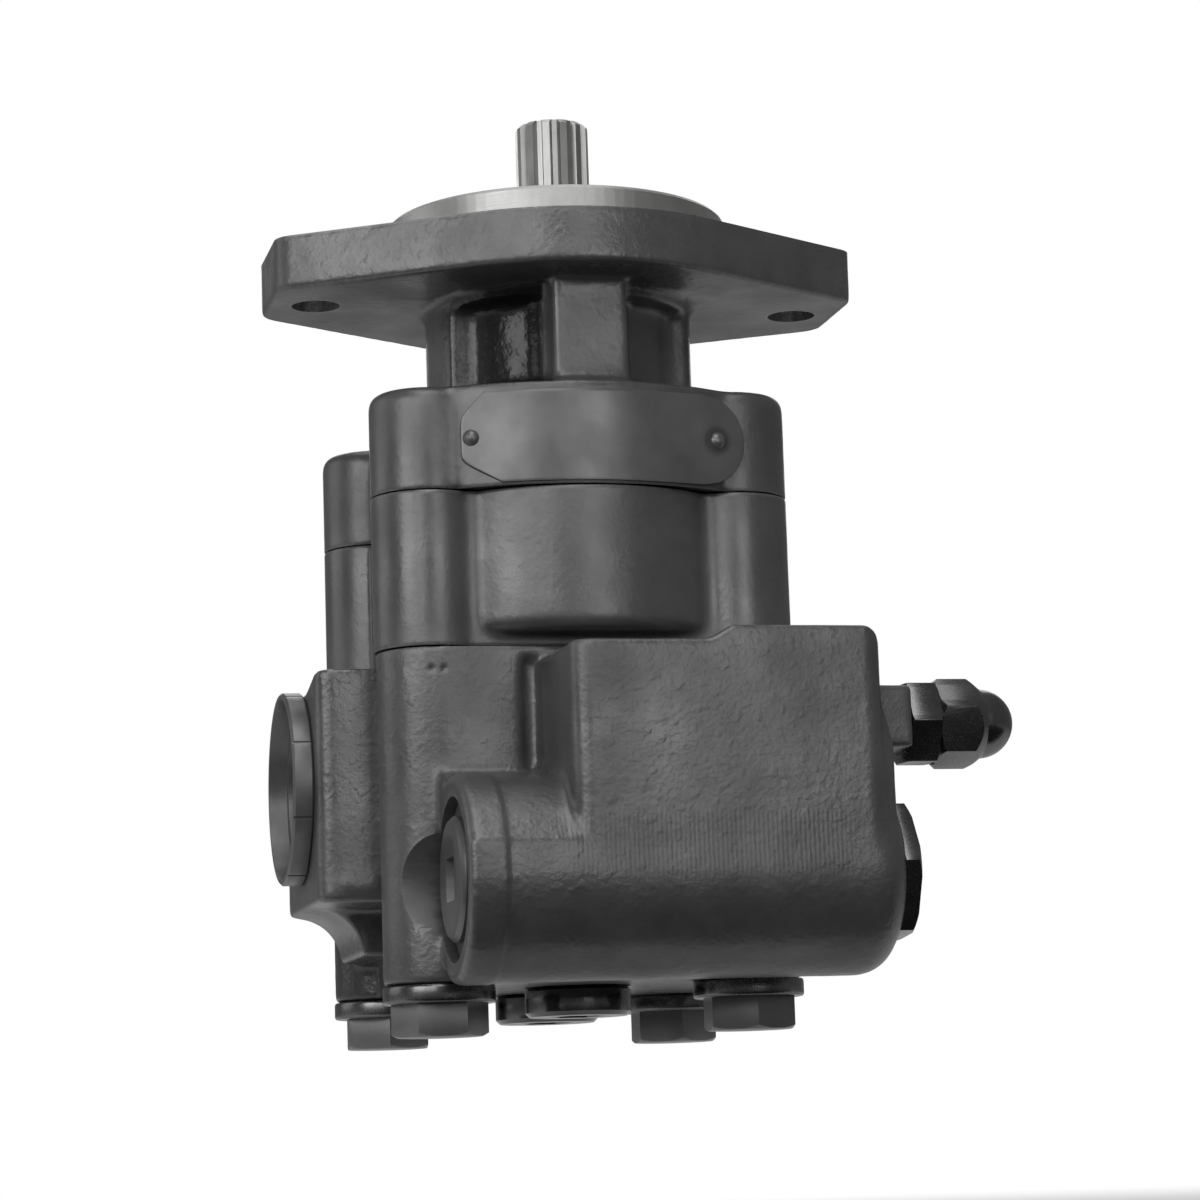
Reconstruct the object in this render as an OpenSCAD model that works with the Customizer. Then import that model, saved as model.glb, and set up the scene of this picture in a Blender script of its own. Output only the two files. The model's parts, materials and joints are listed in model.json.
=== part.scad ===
// Hydraulic gear pump with a priority and relief valve block, in millimetres.
// Origin: centre of the mounting face on the drive shaft's axis. +Z runs out along
// the shaft, X runs along the flange's two bolt holes, and -Y faces the valve block.

/* [Mounting flange] */
// Radius of the machined pilot
pilot_r = 50.8; // [50.4:0.1:50.8]
// Height of the pilot above the mounting face
pilot_h = 9.7; // [9:0.1:10]
// Thickness of the flange
flange_t = 15.8; // [15:0.1:17]
// Distance from the shaft to each flange bolt hole
flange_hole_x = 73; // [72.5:0.1:73.5]
// Radius of the flange bolt holes
flange_hole_r = 7.15; // [6.5:0.05:7.5]

/* [Castings] */
// Depth of the neck below the mounting face
neck_depth = 47.5; // [46.5:0.1:48]
// Radius of the neck
neck_r = 39.6; // [39:0.1:40.5]
// Depth of the joint between the shaft end cover and the gear housing
joint_1_depth = 78; // [78:0.5:79]
// Length of the gear housing
housing_len = 45; // [44:0.5:46]
// Depth of the bottom face of the port end cover
bottom_depth = 218; // [217:0.5:220]
// Radius of the corner lobes round the tie bolts
lobe_r = 16.4; // [16:0.1:17]
// Half the tie bolts' spacing across the pump
bolt_x = 45.2; // [45:0.1:46]
// Half the tie bolts' spacing from front to back
bolt_half_y = 45.95; // [45.5:0.05:46.5]

/* [Gears] */
// Teeth on each gear
gear_teeth = 12; // [12:1:12]
// Module of the gear teeth
gear_module = 3.75; // [3.75:0.05:3.75]
// Pressure angle of the gear teeth
pressure_angle = 25; // [25:1:26]
// Thinning of each tooth, which gives the backlash
tooth_thinning = 0.12; // [0.08:0.01:0.2]
// Radius of the gear journals
journal_r = 15.9; // [15:0.1:16.2]
// Thickness of the thrust plates
thrust_t = 5; // [4:0.5:5]

/* [Drive shaft] */
// Teeth on the shaft's spline
spline_teeth = 13; // [13:1:13]
// Outer radius of the spline
spline_r = 11; // [10.8:0.05:11.1]
// Height of the shaft's end above the mounting face
shaft_tip_z = 41.1; // [40:0.1:42]

/* [Ports] */
// Radius of the inlet port's bore
inlet_r = 23; // [22:0.5:23.5]
// Radius of the outlet port's bore
outlet_r = 15.6; // [14:0.1:16]
// Depth of both ports' centres below the mounting face
port_depth = 157; // [156:0.5:158]

/* [Valve block] */
// Distance from the shaft to the front face of the valve block
block_front = 85; // [84:0.5:86]
// Distance from the shaft to the right side of the valve block
block_right = 71; // [70:0.5:72]
// Radius of the rounded barrel that holds the spool
barrel_r = 28.6; // [28:0.1:29]
// Radius of the spool's lands
spool_r = 10.95; // [10.9:0.01:10.97]
// Full compression of the spool's spring
spool_travel = 6; // [4:0.5:6]
// Lift of the relief poppet
poppet_travel = 2; // [1:0.5:2.5]

/* [Fasteners] */
// Radius of the tie bolts
tie_bolt_r = 8; // [7.5:0.1:8]
// Width across the flats of the tie bolts' heads
tie_head_af = 24; // [23:0.5:24]
// Radius of the tie bolts' washers
washer_r = 16; // [15:0.1:16.2]
// Radius of the dowel pins
dowel_r = 4; // [3.5:0.1:4]

/* [Hidden] */
$fn = 96;
overcut = 1;
wall_gap = 0.05;

centre_distance = gear_teeth * gear_module;
centre_y = centre_distance / 2;
joint_1 = -joint_1_depth;
joint_2 = joint_1 - housing_len;
bottom_z = -bottom_depth;
port_z = -port_depth;
bolt_ys = [centre_y - bolt_half_y, centre_y + bolt_half_y];
gear_axes = [[0, 0], [0, centre_distance]];

// Flange outline: a centre disc, and small discs at its four corners
flange_disc_r = 62.5;
corner_at = [79, 14.5];
corner_r = 8;

// Casting outline between the lobes
side_x = 48;
front_flat_y = -37.5;
rear_flat_y = centre_distance + 37.5;
bulge_r = 50;
bulge_edge = 4;
cover_arc_r = 74;
cover_front_y = -50;
port_flat_y = -39.6;
port_lobe_r = 15.7;

// Neck: a core tube, with ribs left between four cast pockets
neck_core_r = 33.5;
rib_half_w = 11;
rib_reach = 46;
pocket_side_y = 17;
pocket_floor = 4;

// Bores on the drive shaft's axis, from the pilot face inwards
bearing_bore_r = 26;
bearing_seat_z = -9.6;
snap_groove_r = 27.3;
snap_groove_z = [5.5, 7.4];
seal_bore_r = 21;
seal_seat_z = -20;
passage_r = 17;
bushing_r = 19.5;
bushing_len = 26;
drive_bushing_top = joint_1 + 28;
driven_bushing_top = joint_1 + 25;
rear_bushing_end = joint_2 - bushing_len;
running_gap = 0.04;

// Gear housing
gear_pitch_r = gear_pitch(gear_teeth);
gear_tip_r = gear_pitch_r + gear_module;
gear_root_r = gear_pitch_r - 1.25 * gear_module;
gear_bore_r = gear_tip_r + 0.1;
gear_top = joint_1 - thrust_t - wall_gap;
gear_bottom = joint_2 + thrust_t + wall_gap;
chamber_x = 21;
chamber_r = 9;
pocket_seal_t = 2;
housing_seal_r = [30.4, 32.8];
housing_seal_t = 1.8;

// Dowels in the two joints
dowel_x = 38;
dowel_half_len = 8;
dowel_y = centre_y;

// Shaft steps
seat_r = 12.5;
seal_land_r = 14;
spline_root_r = 9.5;
spline_end_z = 10;

// Outboard ball bearing
bearing_w = 15;
ball_count = 9;
ball_r = 3.97;
ball_path_r = 19.25;
race_gap = 0.06;
bearing_mid_z = bearing_seat_z + bearing_w / 2;

// Inlet pad and adaptor
pad_left = -77;
pad_y = [centre_y - 34.5, centre_y + 34.5];
pad_z = [-193, -125];
pad_back_top = -139;
pad_lip = 1;
pad_line_w = 0.9;
adaptor_left = -83;
adaptor_r = 28.5;
adaptor_thread_r = 26;
adaptor_depth = 20;
adaptor_mouth_r = 26.7;
inlet_passage_r = 20;

// Outlet boss
outlet_face_x = 66;
outlet_boss_r = 24;
outlet_depth = 19;
cross_passage_x = 24;
cross_passage_z = -175;
cross_passage_r = 8;

// Valve block
block_left = -17;
block_back_y = -30;
block_top = [-127.4, -123.8];
block_corner = 5;
block_ramp_x = [22, 28];
barrel_at = [-56.7, -190.6];
barrel_x = [-46.5, 77.5];
spotface_x = -43.3;
barrel_corner = 10;
spool_bore_r = 11;
boss_top = [-159, -179];
block_groove_r = 3;
spotface_r = 22.9;

// Spool plugs
socket_plug_r = 17.5;
socket_plug_face = -47.3;
socket_w = 12;
left_thread_r = 14.5;
left_thread_end = -29;
right_thread_r = 15.5;
right_thread_end = 62;
hex_plug_af = 36;
hex_plug_face = 82.5;
hex_plug_turn = 24.5;

// Relief valve, from the seat outwards
relief_at = [-50, -147.4];
relief_seat_x = [34, 40];
relief_bore_r = 6;
relief_screw_r = 7;
relief_thread_start = 68;
relief_boss_x = 86;
relief_boss_y = [-63, -34];
relief_boss_z = [-155.4, -137.5];
lock_nut_x = [86, 95.4];
cap_nut_x = [95.4, 109.3];
cap_dome_r = 10;
nut_af = 22.6;
lock_nut_turn = -28.5;
cap_nut_turn = 13.5;

// Bottom plugs
plug_thread_r = 13;
plug_head_r = 15.5;
plug_face_z = -226.6;

// O-rings: section radius, and the counterbore that takes one
oring_r = 1.2;
oring_seat_w = 2.5;
oring_seat_t = 2.45;

washer_t = 5.2;
tie_head_h = 9.2;
tie_bolt_top = -55;
tie_clearance_r = 8.6;
tie_head_turn = [[-6, 24], [26, 28]];

// Nameplate on the front of the shaft end cover
plate_t = 1;
plate_x = [-38.2, 45.5];
plate_z = [-77, -50.5];
plate_end_r = 13.25;
plate_clip_low = [11, 6.5];
plate_clip_high = [6.5, 7];
rivet_xs = [-35.1, 36.7];
rivet_r = 1.5;
rivet_head_r = 2.8;

cast_colour = [0.25, 0.25, 0.27];
steel_colour = [0.72, 0.72, 0.7];
black_colour = [0.1, 0.1, 0.11];
bronze_colour = [0.7, 0.5, 0.25];
rubber_colour = [0.05, 0.05, 0.05];
brass_colour = [0.8, 0.65, 0.3];

function gear_pitch(teeth) = teeth * gear_module / 2;

// ---- placing and plain shapes ----

// A tool drawn along +Z is laid along +X, starting at x on the line y, z
module along_x(x, at) {
    translate([x, at[0], at[1]])
        rotate([0, 90, 0])
            children();
}

// Solid of revolution between two heights, with its ends' edges bevelled
module bevelled(r, z0, z1, bevel) {
    rotate_extrude()
        polygon([
            [0, z0], [r - bevel, z0], [r, z0 + bevel],
            [r, z1 - bevel], [r - bevel, z1], [0, z1],
        ]);
}

// A plain cylinder between two heights
module drum(r, z0, z1) {
    translate([0, 0, z0])
        cylinder(r = r, h = z1 - z0);
}

// A ring between two heights
module ring(outer, inner, z0, z1) {
    difference() {
        drum(outer, z0, z1);
        drum(inner, z0 - overcut, z1 + overcut);
    }
}

// Hexagon prism whose corners are turned down at both ends, each by [length, depth]
module hex_prism(af, z0, z1, turned_low, turned_high) {
    corner = af / sqrt(3);
    intersection() {
        translate([0, 0, z0])
            cylinder(r = corner, h = z1 - z0, $fn = 6);
        rotate_extrude()
            polygon([
                [0, z0], [corner - turned_low[1], z0], [corner + 0.01, z0 + turned_low[0]],
                [corner + 0.01, z1 - turned_high[0]], [corner - turned_high[1], z1], [0, z1],
            ]);
    }
}

// A hexagonal socket tool
module hex_socket(af, z0, z1) {
    translate([0, 0, z0])
        cylinder(r = af / sqrt(3), h = z1 - z0, $fn = 6);
}

// An O-ring lying in the plane z, just outside a thread
module oring(thread_r, z) {
    translate([0, 0, z])
        rotate_extrude()
            translate([thread_r + oring_seat_w / 2, 0])
                circle(r = oring_r, $fn = 32);
}

// The counterbore tool for an O-ring, running from the face into the wall
module oring_seat(thread_r, z0, z1) {
    drum(thread_r + oring_seat_w, z0, z1);
}

// One child at each tie bolt
module at_bolts() {
    for (side = [-1, 1])
        for (y = bolt_ys)
            translate([side * bolt_x, y, 0])
                children();
}

// One child at each dowel
module at_dowels() {
    for (side = [-1, 1])
        translate([side * dowel_x, dowel_y, 0])
            children();
}

// Two meeting discs, one round each gear's axis
module figure_eight(r) {
    for (at = gear_axes)
        translate(at)
            circle(r = r);
}

// ---- outlines ----

module flange_outline() {
    lean = atan2(corner_at[1], corner_at[0])
        + acos((flange_disc_r - corner_r) / norm(corner_at));
    n = [cos(lean), sin(lean)];
    side = [corner_at + [corner_r, 0], corner_at + corner_r * n, flange_disc_r * n];
    circle(r = flange_disc_r);
    for (sx = [-1, 1])
        for (sy = [-1, 1])
            translate([sx * corner_at[0], sy * corner_at[1]])
                circle(r = corner_r);
    polygon(concat(
        side,
        [for (i = [2:-1:0]) [-side[i][0], side[i][1]]],
        [for (p = side) -p],
        [for (i = [2:-1:0]) [side[i][0], -side[i][1]]]
    ));
}

// The four lobes and the flat walls between them
module lobed_outline(front_y, rear_y, r = lobe_r) {
    for (side = [-1, 1])
        for (y = bolt_ys)
            translate([side * bolt_x, y])
                circle(r = r);
    translate([-side_x, bolt_ys[0]])
        square([2 * side_x, bolt_ys[1] - bolt_ys[0]]);
    translate([-bolt_x, front_y])
        square([2 * bolt_x, rear_y - front_y]);
}

// Drum round a gear whose lower edge is rounded off
module bulge(at, z0, z1) {
    translate([at[0], at[1], 0])
        rotate_extrude() {
            translate([0, z0])
                square([bulge_r - bulge_edge, z1 - z0]);
            translate([0, z0 + bulge_edge])
                square([bulge_r, z1 - z0 - bulge_edge]);
            translate([bulge_r - bulge_edge, z0 + bulge_edge])
                circle(r = bulge_edge, $fn = 48);
        }
}

// ---- castings ----

// Slots left in the neck between its ribs, one on each quarter
module neck_pockets() {
    inner_x = rib_half_w;
    outer_x = neck_r + overcut;
    edge = 5;
    z0 = -neck_depth + 1.5;
    z1 = -flange_t - pocket_floor;
    for (sx = [-1, 1])
        for (sy = [-1, 1])
            scale([sx, sy, 1])
                translate([0, 0, z0])
                    linear_extrude(z1 - z0)
                        difference() {
                            translate([inner_x, pocket_side_y])
                                square([outer_x, neck_r * 2]);
                            circle(r = neck_core_r);
                            translate([inner_x, neck_core_r - edge])
                                square([edge / 2, edge]);
                        }
}

module neck() {
    difference() {
        drum(neck_r, -neck_depth - overcut, -flange_t + overcut);
        neck_pockets();
    }
    translate([-rib_half_w, -rib_reach, -neck_depth - overcut])
        cube([2 * rib_half_w, 2 * rib_reach, neck_depth - flange_t + 2 * overcut]);
}

// Lower part of the cover: lobes with rounded shoulders and a broad curved front
module cover_body() {
    shoulder = 4;
    top = -neck_depth;
    for (side = [-1, 1])
        for (y = bolt_ys)
            translate([side * bolt_x, y, 0])
                rotate_extrude() {
                    translate([0, joint_1])
                        square([lobe_r, top - joint_1 - shoulder]);
                    translate([0, top - shoulder - overcut])
                        square([lobe_r - shoulder, shoulder + overcut]);
                    translate([lobe_r - shoulder, top - shoulder])
                        circle(r = shoulder, $fn = 48);
                }
    translate([0, 0, joint_1])
        linear_extrude(top - joint_1 - shoulder)
            lobed_outline(front_flat_y, rear_flat_y);
    translate([0, 0, joint_1])
        linear_extrude(top - joint_1)
            translate([-bolt_x, bolt_ys[0] - lobe_r + shoulder])
                square([2 * bolt_x, 2 * (bolt_half_y + lobe_r - shoulder)]);
    cover_arcs(top);
}

// Broad arcs that carry the nameplate at the front and balance it at the back
module cover_arcs(top) {
    half_w = bolt_x - 1;
    for (turn = [0, 180])
        translate([0, centre_y, joint_1])
            rotate([0, 0, turn])
                translate([0, -centre_y, 0])
                    linear_extrude(top - joint_1)
                        intersection() {
                            translate([0, cover_front_y + cover_arc_r])
                                circle(r = cover_arc_r, $fn = 180);
                            translate([-half_w, cover_front_y - overcut])
                                square([2 * half_w, 40]);
                        }
}

module shaft_end_cover() {
    color(cast_colour)
        difference() {
            union() {
                rotate_extrude()
                    polygon([
                        [0, -overcut], [pilot_r, -overcut], [pilot_r, pilot_h - 1],
                        [pilot_r - 1, pilot_h], [0, pilot_h],
                    ]);
                translate([0, 0, -flange_t])
                    linear_extrude(flange_t)
                        flange_outline();
                neck();
                cover_body();
            }
            for (side = [-1, 1])
                translate([side * flange_hole_x, 0, 0])
                    drum(flange_hole_r, -flange_t - overcut, overcut);
            drum(bearing_bore_r, bearing_seat_z, pilot_h + overcut);
            drum(snap_groove_r, snap_groove_z[0], snap_groove_z[1]);
            drum(seal_bore_r, seal_seat_z, 0);
            drum(passage_r, joint_1 - overcut, 0);
            drum(bushing_r, joint_1 - overcut, drive_bushing_top);
            translate(gear_axes[1])
                drum(bushing_r, joint_1 - overcut, driven_bushing_top);
            at_bolts()
                drum(tie_bolt_r, joint_1 - overcut, tie_bolt_top + 2);
            at_dowels()
                drum(dowel_r, joint_1 - overcut, joint_1 + dowel_half_len + 0.5);
            rivet_places()
                drum(rivet_r, -8, overcut);
        }
}

module gear_housing() {
    front = [joint_2 + 3.5, joint_1];
    color(cast_colour)
        difference() {
            union() {
                translate([0, 0, joint_2])
                    linear_extrude(housing_len)
                        lobed_outline(front_flat_y, rear_flat_y);
                for (at = gear_axes)
                    bulge(at, front[0], front[1]);
            }
            translate([0, 0, joint_2 - overcut])
                linear_extrude(housing_len + 2 * overcut)
                    figure_eight(gear_bore_r);
            for (side = [-1, 1])
                translate([side * chamber_x, centre_y, 0])
                    drum(chamber_r, joint_2 - overcut, joint_1 - thrust_t);
            at_bolts()
                drum(tie_clearance_r, joint_2 - overcut, joint_1 + overcut);
            at_dowels() {
                drum(dowel_r, joint_1 - dowel_half_len - 0.5, joint_1 + overcut);
                drum(dowel_r, joint_2 - overcut, joint_2 + dowel_half_len + 0.5);
            }
            housing_seal(joint_1 - housing_seal_t, housing_seal_t + overcut);
            housing_seal(joint_2 - overcut, housing_seal_t + overcut);
        }
}

// The solid mass of the valve block, before its bores
module block_mass() {
    inner_x = block_right - block_corner;
    // front corners are rounded in plan; the top steps up on a ramp to a rounded right corner
    intersection() {
        translate([0, 0, barrel_at[1]])
            linear_extrude(block_top[1] - barrel_at[1])
                rounded_slab([block_left, -block_front], [block_right, block_back_y], block_corner);
        translate([0, block_back_y + overcut, 0])
            rotate([90, 0, 0])
                linear_extrude(block_front + block_back_y + 2 * overcut)
                    union() {
                        polygon([
                            [block_left - overcut, barrel_at[1] - overcut],
                            [block_right, barrel_at[1] - overcut],
                            [block_right, block_top[1] - block_corner], [inner_x, block_top[1]],
                            [block_ramp_x[1], block_top[1]], [block_ramp_x[0], block_top[0]],
                            [block_left - overcut, block_top[0]],
                        ]);
                        translate([inner_x, block_top[1] - block_corner])
                            circle(r = block_corner, $fn = 48);
                    }
    }
    // swelling at the right side, from the relief boss down to the barrel
    translate([0, relief_boss_y[1] - 6, 0])
        rotate([90, 0, 0])
            linear_extrude(block_front + relief_boss_y[1] - 11)
                polygon([
                    [block_right - 10, barrel_at[1]], [block_right + 3.8, barrel_at[1]],
                    [block_right + 3.8, -157], [block_right + 2.2, -151],
                    [block_right, -143], [block_right - 10, -143],
                ]);
    barrel();
    left_boss();
    relief_boss();
}

// Square boss on the right side that takes the relief valve, with a web under it
module relief_boss() {
    web = 7;
    translate([block_right - 5, relief_boss_y[0], relief_boss_z[0]])
        cube([
            relief_boss_x - block_right + 5,
            relief_boss_y[1] - relief_boss_y[0],
            relief_boss_z[1] - relief_boss_z[0],
        ]);
    translate([0, relief_boss_y[1], 0])
        rotate([90, 0, 0])
            linear_extrude(web)
                polygon([
                    [block_right - 5, relief_boss_z[0] + 1], [relief_boss_x - 2, relief_boss_z[0] + 1],
                    [relief_boss_x - 2, relief_boss_z[0]], [block_right + 7, relief_boss_z[0] - 9],
                    [block_right - 5, relief_boss_z[0] - 9],
                ]);
}

// A rectangle between two corners with its front corners rounded
module rounded_slab(low, high, r) {
    translate([low[0] + r, low[1]])
        square([high[0] - low[0] - 2 * r, high[1] - low[1]]);
    translate([low[0], low[1] + r])
        square([high[0] - low[0], high[1] - low[1] - r]);
    for (x = [low[0] + r, high[0] - r])
        translate([x, low[1] + r])
            circle(r = r, $fn = 48);
}

// The barrel along X, with a generous round at its right end
module barrel() {
    length = barrel_x[1] - barrel_x[0];
    along_x(barrel_x[0], barrel_at)
        rotate_extrude() {
            square([barrel_r, length - barrel_corner]);
            square([barrel_r - barrel_corner, length]);
            translate([barrel_r - barrel_corner, length - barrel_corner])
                circle(r = barrel_corner, $fn = 64);
        }
}

// Boss left of the block: its top slopes down from the cover to the barrel's front
module left_boss() {
    front = -block_front - 0.1;
    translate([barrel_x[0], 0, 0])
        rotate([90, 0, 90])
            linear_extrude(block_left - barrel_x[0] + overcut)
                polygon([
                    [front, barrel_at[1]], [front, boss_top[1] - 3], [front + 4, boss_top[1]],
                    [port_flat_y, boss_top[0]], [-28, boss_top[0]], [-28, barrel_at[1]],
                ]);
}

// Pad that carries the inlet: its top falls towards the back
module inlet_pad() {
    edge = 5;
    foot_r = 14;
    inner_x = -side_x + 8;
    intersection() {
        translate([0, 0, pad_z[0]])
            linear_extrude(pad_z[1] - pad_z[0])
                union() {
                    translate([pad_left, pad_y[0] + edge])
                        square([inner_x - pad_left, pad_y[1] - pad_y[0] - 2 * edge]);
                    translate([pad_left + edge, pad_y[0]])
                        square([inner_x - pad_left - edge, pad_y[1] - pad_y[0]]);
                    for (y = [pad_y[0] + edge, pad_y[1] - edge])
                        translate([pad_left + edge, y])
                            circle(r = edge, $fn = 48);
                }
        translate([pad_left - overcut, 0, 0])
            rotate([90, 0, 90])
                linear_extrude(inner_x - pad_left + 2 * overcut)
                    polygon([
                        [pad_y[0] - overcut, pad_z[0] - overcut], [pad_y[1] + overcut, pad_z[0] - overcut],
                        [pad_y[1] + overcut, pad_back_top], [pad_y[0] - overcut, pad_z[1]],
                    ]);
    }
    // raised lip low on the pad's front
    translate([pad_left + 7, pad_y[0] - pad_lip, -189.5])
        cube([10, pad_lip + overcut, 3]);
    // concave foot between the pad and the rear lobe
    translate([0, pad_y[1], 0])
        rotate([90, 0, 0])
            linear_extrude(45)
                difference() {
                    translate([pad_left + 2, pad_z[0] - foot_r])
                        square([30, foot_r + overcut]);
                    translate([pad_left + 2, pad_z[0] - foot_r])
                        circle(r = foot_r, $fn = 64);
                }
}

module port_cover_mass() {
    translate([0, 0, bottom_z])
        linear_extrude(joint_2 - bottom_z)
            lobed_outline(port_flat_y, rear_flat_y, port_lobe_r);
    translate([gear_axes[1][0], gear_axes[1][1], 0])
        drum(bulge_r, bottom_z, joint_2);
    block_mass();
    inlet_pad();
    along_x(side_x - overcut, [centre_y, port_z])
        drum(outlet_boss_r, 0, outlet_face_x - side_x + overcut);
}

module port_cover_bores() {
    at_bolts()
        drum(tie_clearance_r, bottom_z - overcut, joint_2 + overcut);
    at_dowels()
        drum(dowel_r, joint_2 - dowel_half_len - 0.5, joint_2 + overcut);
    for (at = gear_axes)
        translate(at) {
            drum(bushing_r, rear_bushing_end, joint_2 + overcut);
            drum(plug_thread_r, bottom_z - overcut, joint_2);
            oring_seat(plug_thread_r, bottom_z - overcut, bottom_z + oring_seat_t);
        }
    // suction side: threaded mouth, passage and chamber
    along_x(pad_left, [centre_y, port_z]) {
        drum(adaptor_thread_r, -overcut, adaptor_depth);
        drum(inlet_passage_r, 0, -pad_left - chamber_x - 3);
        oring_seat(adaptor_thread_r - oring_seat_w, -overcut, adaptor_depth);
    }
    translate([-chamber_x, centre_y, 0])
        drum(chamber_r, port_z, joint_2 + overcut);
    // pressure side: threaded mouth, chamber and the cross passage to the spool
    along_x(chamber_x, [centre_y, port_z]) {
        drum(outlet_r, outlet_face_x - chamber_x - outlet_depth, outlet_face_x - chamber_x + overcut);
        drum(chamber_r, 0, outlet_face_x - chamber_x);
    }
    translate([chamber_x, centre_y, 0])
        drum(chamber_r, cross_passage_z, joint_2 + overcut);
    translate([cross_passage_x, centre_y, cross_passage_z])
        rotate([90, 0, 0])
            cylinder(r = cross_passage_r, h = centre_y - barrel_at[0]);
    // narrow line cut down the pad's front, near its outer edge
    translate([pad_left + 3.4, pad_y[0] - overcut, -188])
        cube([pad_line_w, overcut + 0.7, 56]);
    valve_bores();
}

module valve_bores() {
    along_x(0, barrel_at) {
        drum(spool_bore_r, left_thread_end - overcut, right_thread_end + overcut);
        drum(left_thread_r, spotface_x - overcut, left_thread_end);
        oring_seat(left_thread_r, spotface_x - overcut, spotface_x + oring_seat_t);
        drum(spotface_r, spotface_x - 25, spotface_x);
        drum(right_thread_r, right_thread_end, barrel_x[1] + overcut);
        oring_seat(right_thread_r, barrel_x[1] - oring_seat_t, barrel_x[1] + overcut);
    }
    along_x(0, relief_at) {
        drum(relief_bore_r, relief_seat_x[0], relief_boss_x);
        drum(2.5, 24, relief_seat_x[0] + overcut);
        drum(relief_screw_r, relief_thread_start, relief_boss_x + overcut);
    }
    // drilled link from the spool bore up to the relief valve
    translate([27, relief_at[0], barrel_at[1]])
        cylinder(r = 4, h = relief_at[1] - barrel_at[1]);
    // cast groove where the block's left side meets the cover's front
    translate([block_left - block_groove_r + 0.4, port_flat_y, boss_top[0]])
        cylinder(r = block_groove_r, h = joint_2 - boss_top[0] - 3);
}

module port_end_cover() {
    color(cast_colour)
        difference() {
            port_cover_mass();
            port_cover_bores();
        }
}

// ---- gears and shafts ----

// Involute of the base circle, as the polar angle it has turned through at radius r
function involute_turn(r) = let (a = acos(base_r / r)) tan(a) * 180 / PI - a;

base_r = gear_pitch_r * cos(pressure_angle);
flank_steps = 7;
half_tooth = (PI * gear_module / 2 - tooth_thinning) / (2 * gear_pitch_r) * 180 / PI;

// Half the tooth's angle at radius r, from its centre line to its flank
function flank_angle(r) = half_tooth + involute_turn(gear_pitch_r) - involute_turn(r);

function polar(r, a) = [r * cos(a), r * sin(a)];

function flank_radius(i) = base_r + (gear_tip_r - base_r) * i / flank_steps;

// Points of one tooth whose centre line is at angle a
function tooth(a) = concat(
    [polar(gear_root_r, a - flank_angle(base_r))],
    [for (i = [0:flank_steps]) polar(flank_radius(i), a - flank_angle(flank_radius(i)))],
    [for (i = [flank_steps:-1:0]) polar(flank_radius(i), a + flank_angle(flank_radius(i)))],
    [polar(gear_root_r, a + flank_angle(base_r))]
);

// A gear that has a tooth at angle first
module gear_outline(first) {
    polygon([
        for (k = [0:gear_teeth - 1])
            for (p = tooth(first + k * 360 / gear_teeth)) p
    ]);
}

module gear(first) {
    translate([0, 0, gear_bottom])
        linear_extrude(gear_top - gear_bottom)
            gear_outline(first);
}

module spline_outline() {
    pitch = 360 / spline_teeth;
    root_half = pitch * 0.34;
    tip_half = pitch * 0.2;
    polygon([
        for (k = [0:spline_teeth - 1])
            for (p = [
                [spline_root_r, -root_half], [spline_r, -tip_half],
                [spline_r, tip_half], [spline_root_r, root_half],
            ]) polar(p[0], k * pitch + p[1])
    ]);
}

module drive_gear_shaft() {
    bevel = 1.2;
    color(steel_colour)
        union() {
            intersection() {
                translate([0, 0, spline_end_z - overcut])
                    linear_extrude(shaft_tip_z - spline_end_z + overcut)
                        spline_outline();
                bevelled(spline_r + 0.05, 0, shaft_tip_z, bevel);
            }
            rotate_extrude()
                polygon([
                    [0, rear_bushing_end], [journal_r - 1, rear_bushing_end],
                    [journal_r, rear_bushing_end + 1], [journal_r, -45], [seal_land_r, -43],
                    [seal_land_r, bearing_seat_z], [seat_r, bearing_seat_z],
                    [seat_r, spline_end_z - 1], [seat_r - 1, spline_end_z],
                    [0, spline_end_z],
                ]);
            gear(90);
        }
}

module driven_gear_shaft() {
    top = driven_bushing_top - 0.5;
    color(steel_colour)
        translate(gear_axes[1]) {
            bevelled(journal_r, rear_bushing_end, top, 1);
            gear(90 + 180 / gear_teeth);
        }
}

// ---- plates, bushings and seals round the gears ----

module thrust_plate(z, seal_z) {
    color(bronze_colour)
        difference() {
            translate([0, 0, z])
                linear_extrude(thrust_t)
                    difference() {
                        figure_eight(gear_bore_r - 0.05);
                        figure_eight(journal_r + 0.4);
                    }
            pocket_seal_ring(seal_z - wall_gap, pocket_seal_t + 2 * wall_gap);
        }
}

module pocket_seal_ring(z, t) {
    translate([0, 0, z])
        linear_extrude(t)
            difference() {
                figure_eight(25);
                figure_eight(22.9);
            }
}

module front_thrust_plate() {
    thrust_plate(joint_1 - thrust_t, joint_1 - pocket_seal_t);
}

module rear_thrust_plate() {
    thrust_plate(joint_2, joint_2);
}

module front_pocket_seal() {
    color(rubber_colour)
        pocket_seal_ring(joint_1 - pocket_seal_t, pocket_seal_t);
}

module rear_pocket_seal() {
    color(rubber_colour)
        pocket_seal_ring(joint_2, pocket_seal_t);
}

module housing_seal(z, t) {
    translate([0, 0, z])
        linear_extrude(t)
            difference() {
                figure_eight(housing_seal_r[1]);
                figure_eight(housing_seal_r[0]);
            }
}

module front_housing_seal() {
    color(rubber_colour)
        housing_seal(joint_1 - housing_seal_t, housing_seal_t);
}

module rear_housing_seal() {
    color(rubber_colour)
        housing_seal(joint_2, housing_seal_t);
}

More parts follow.
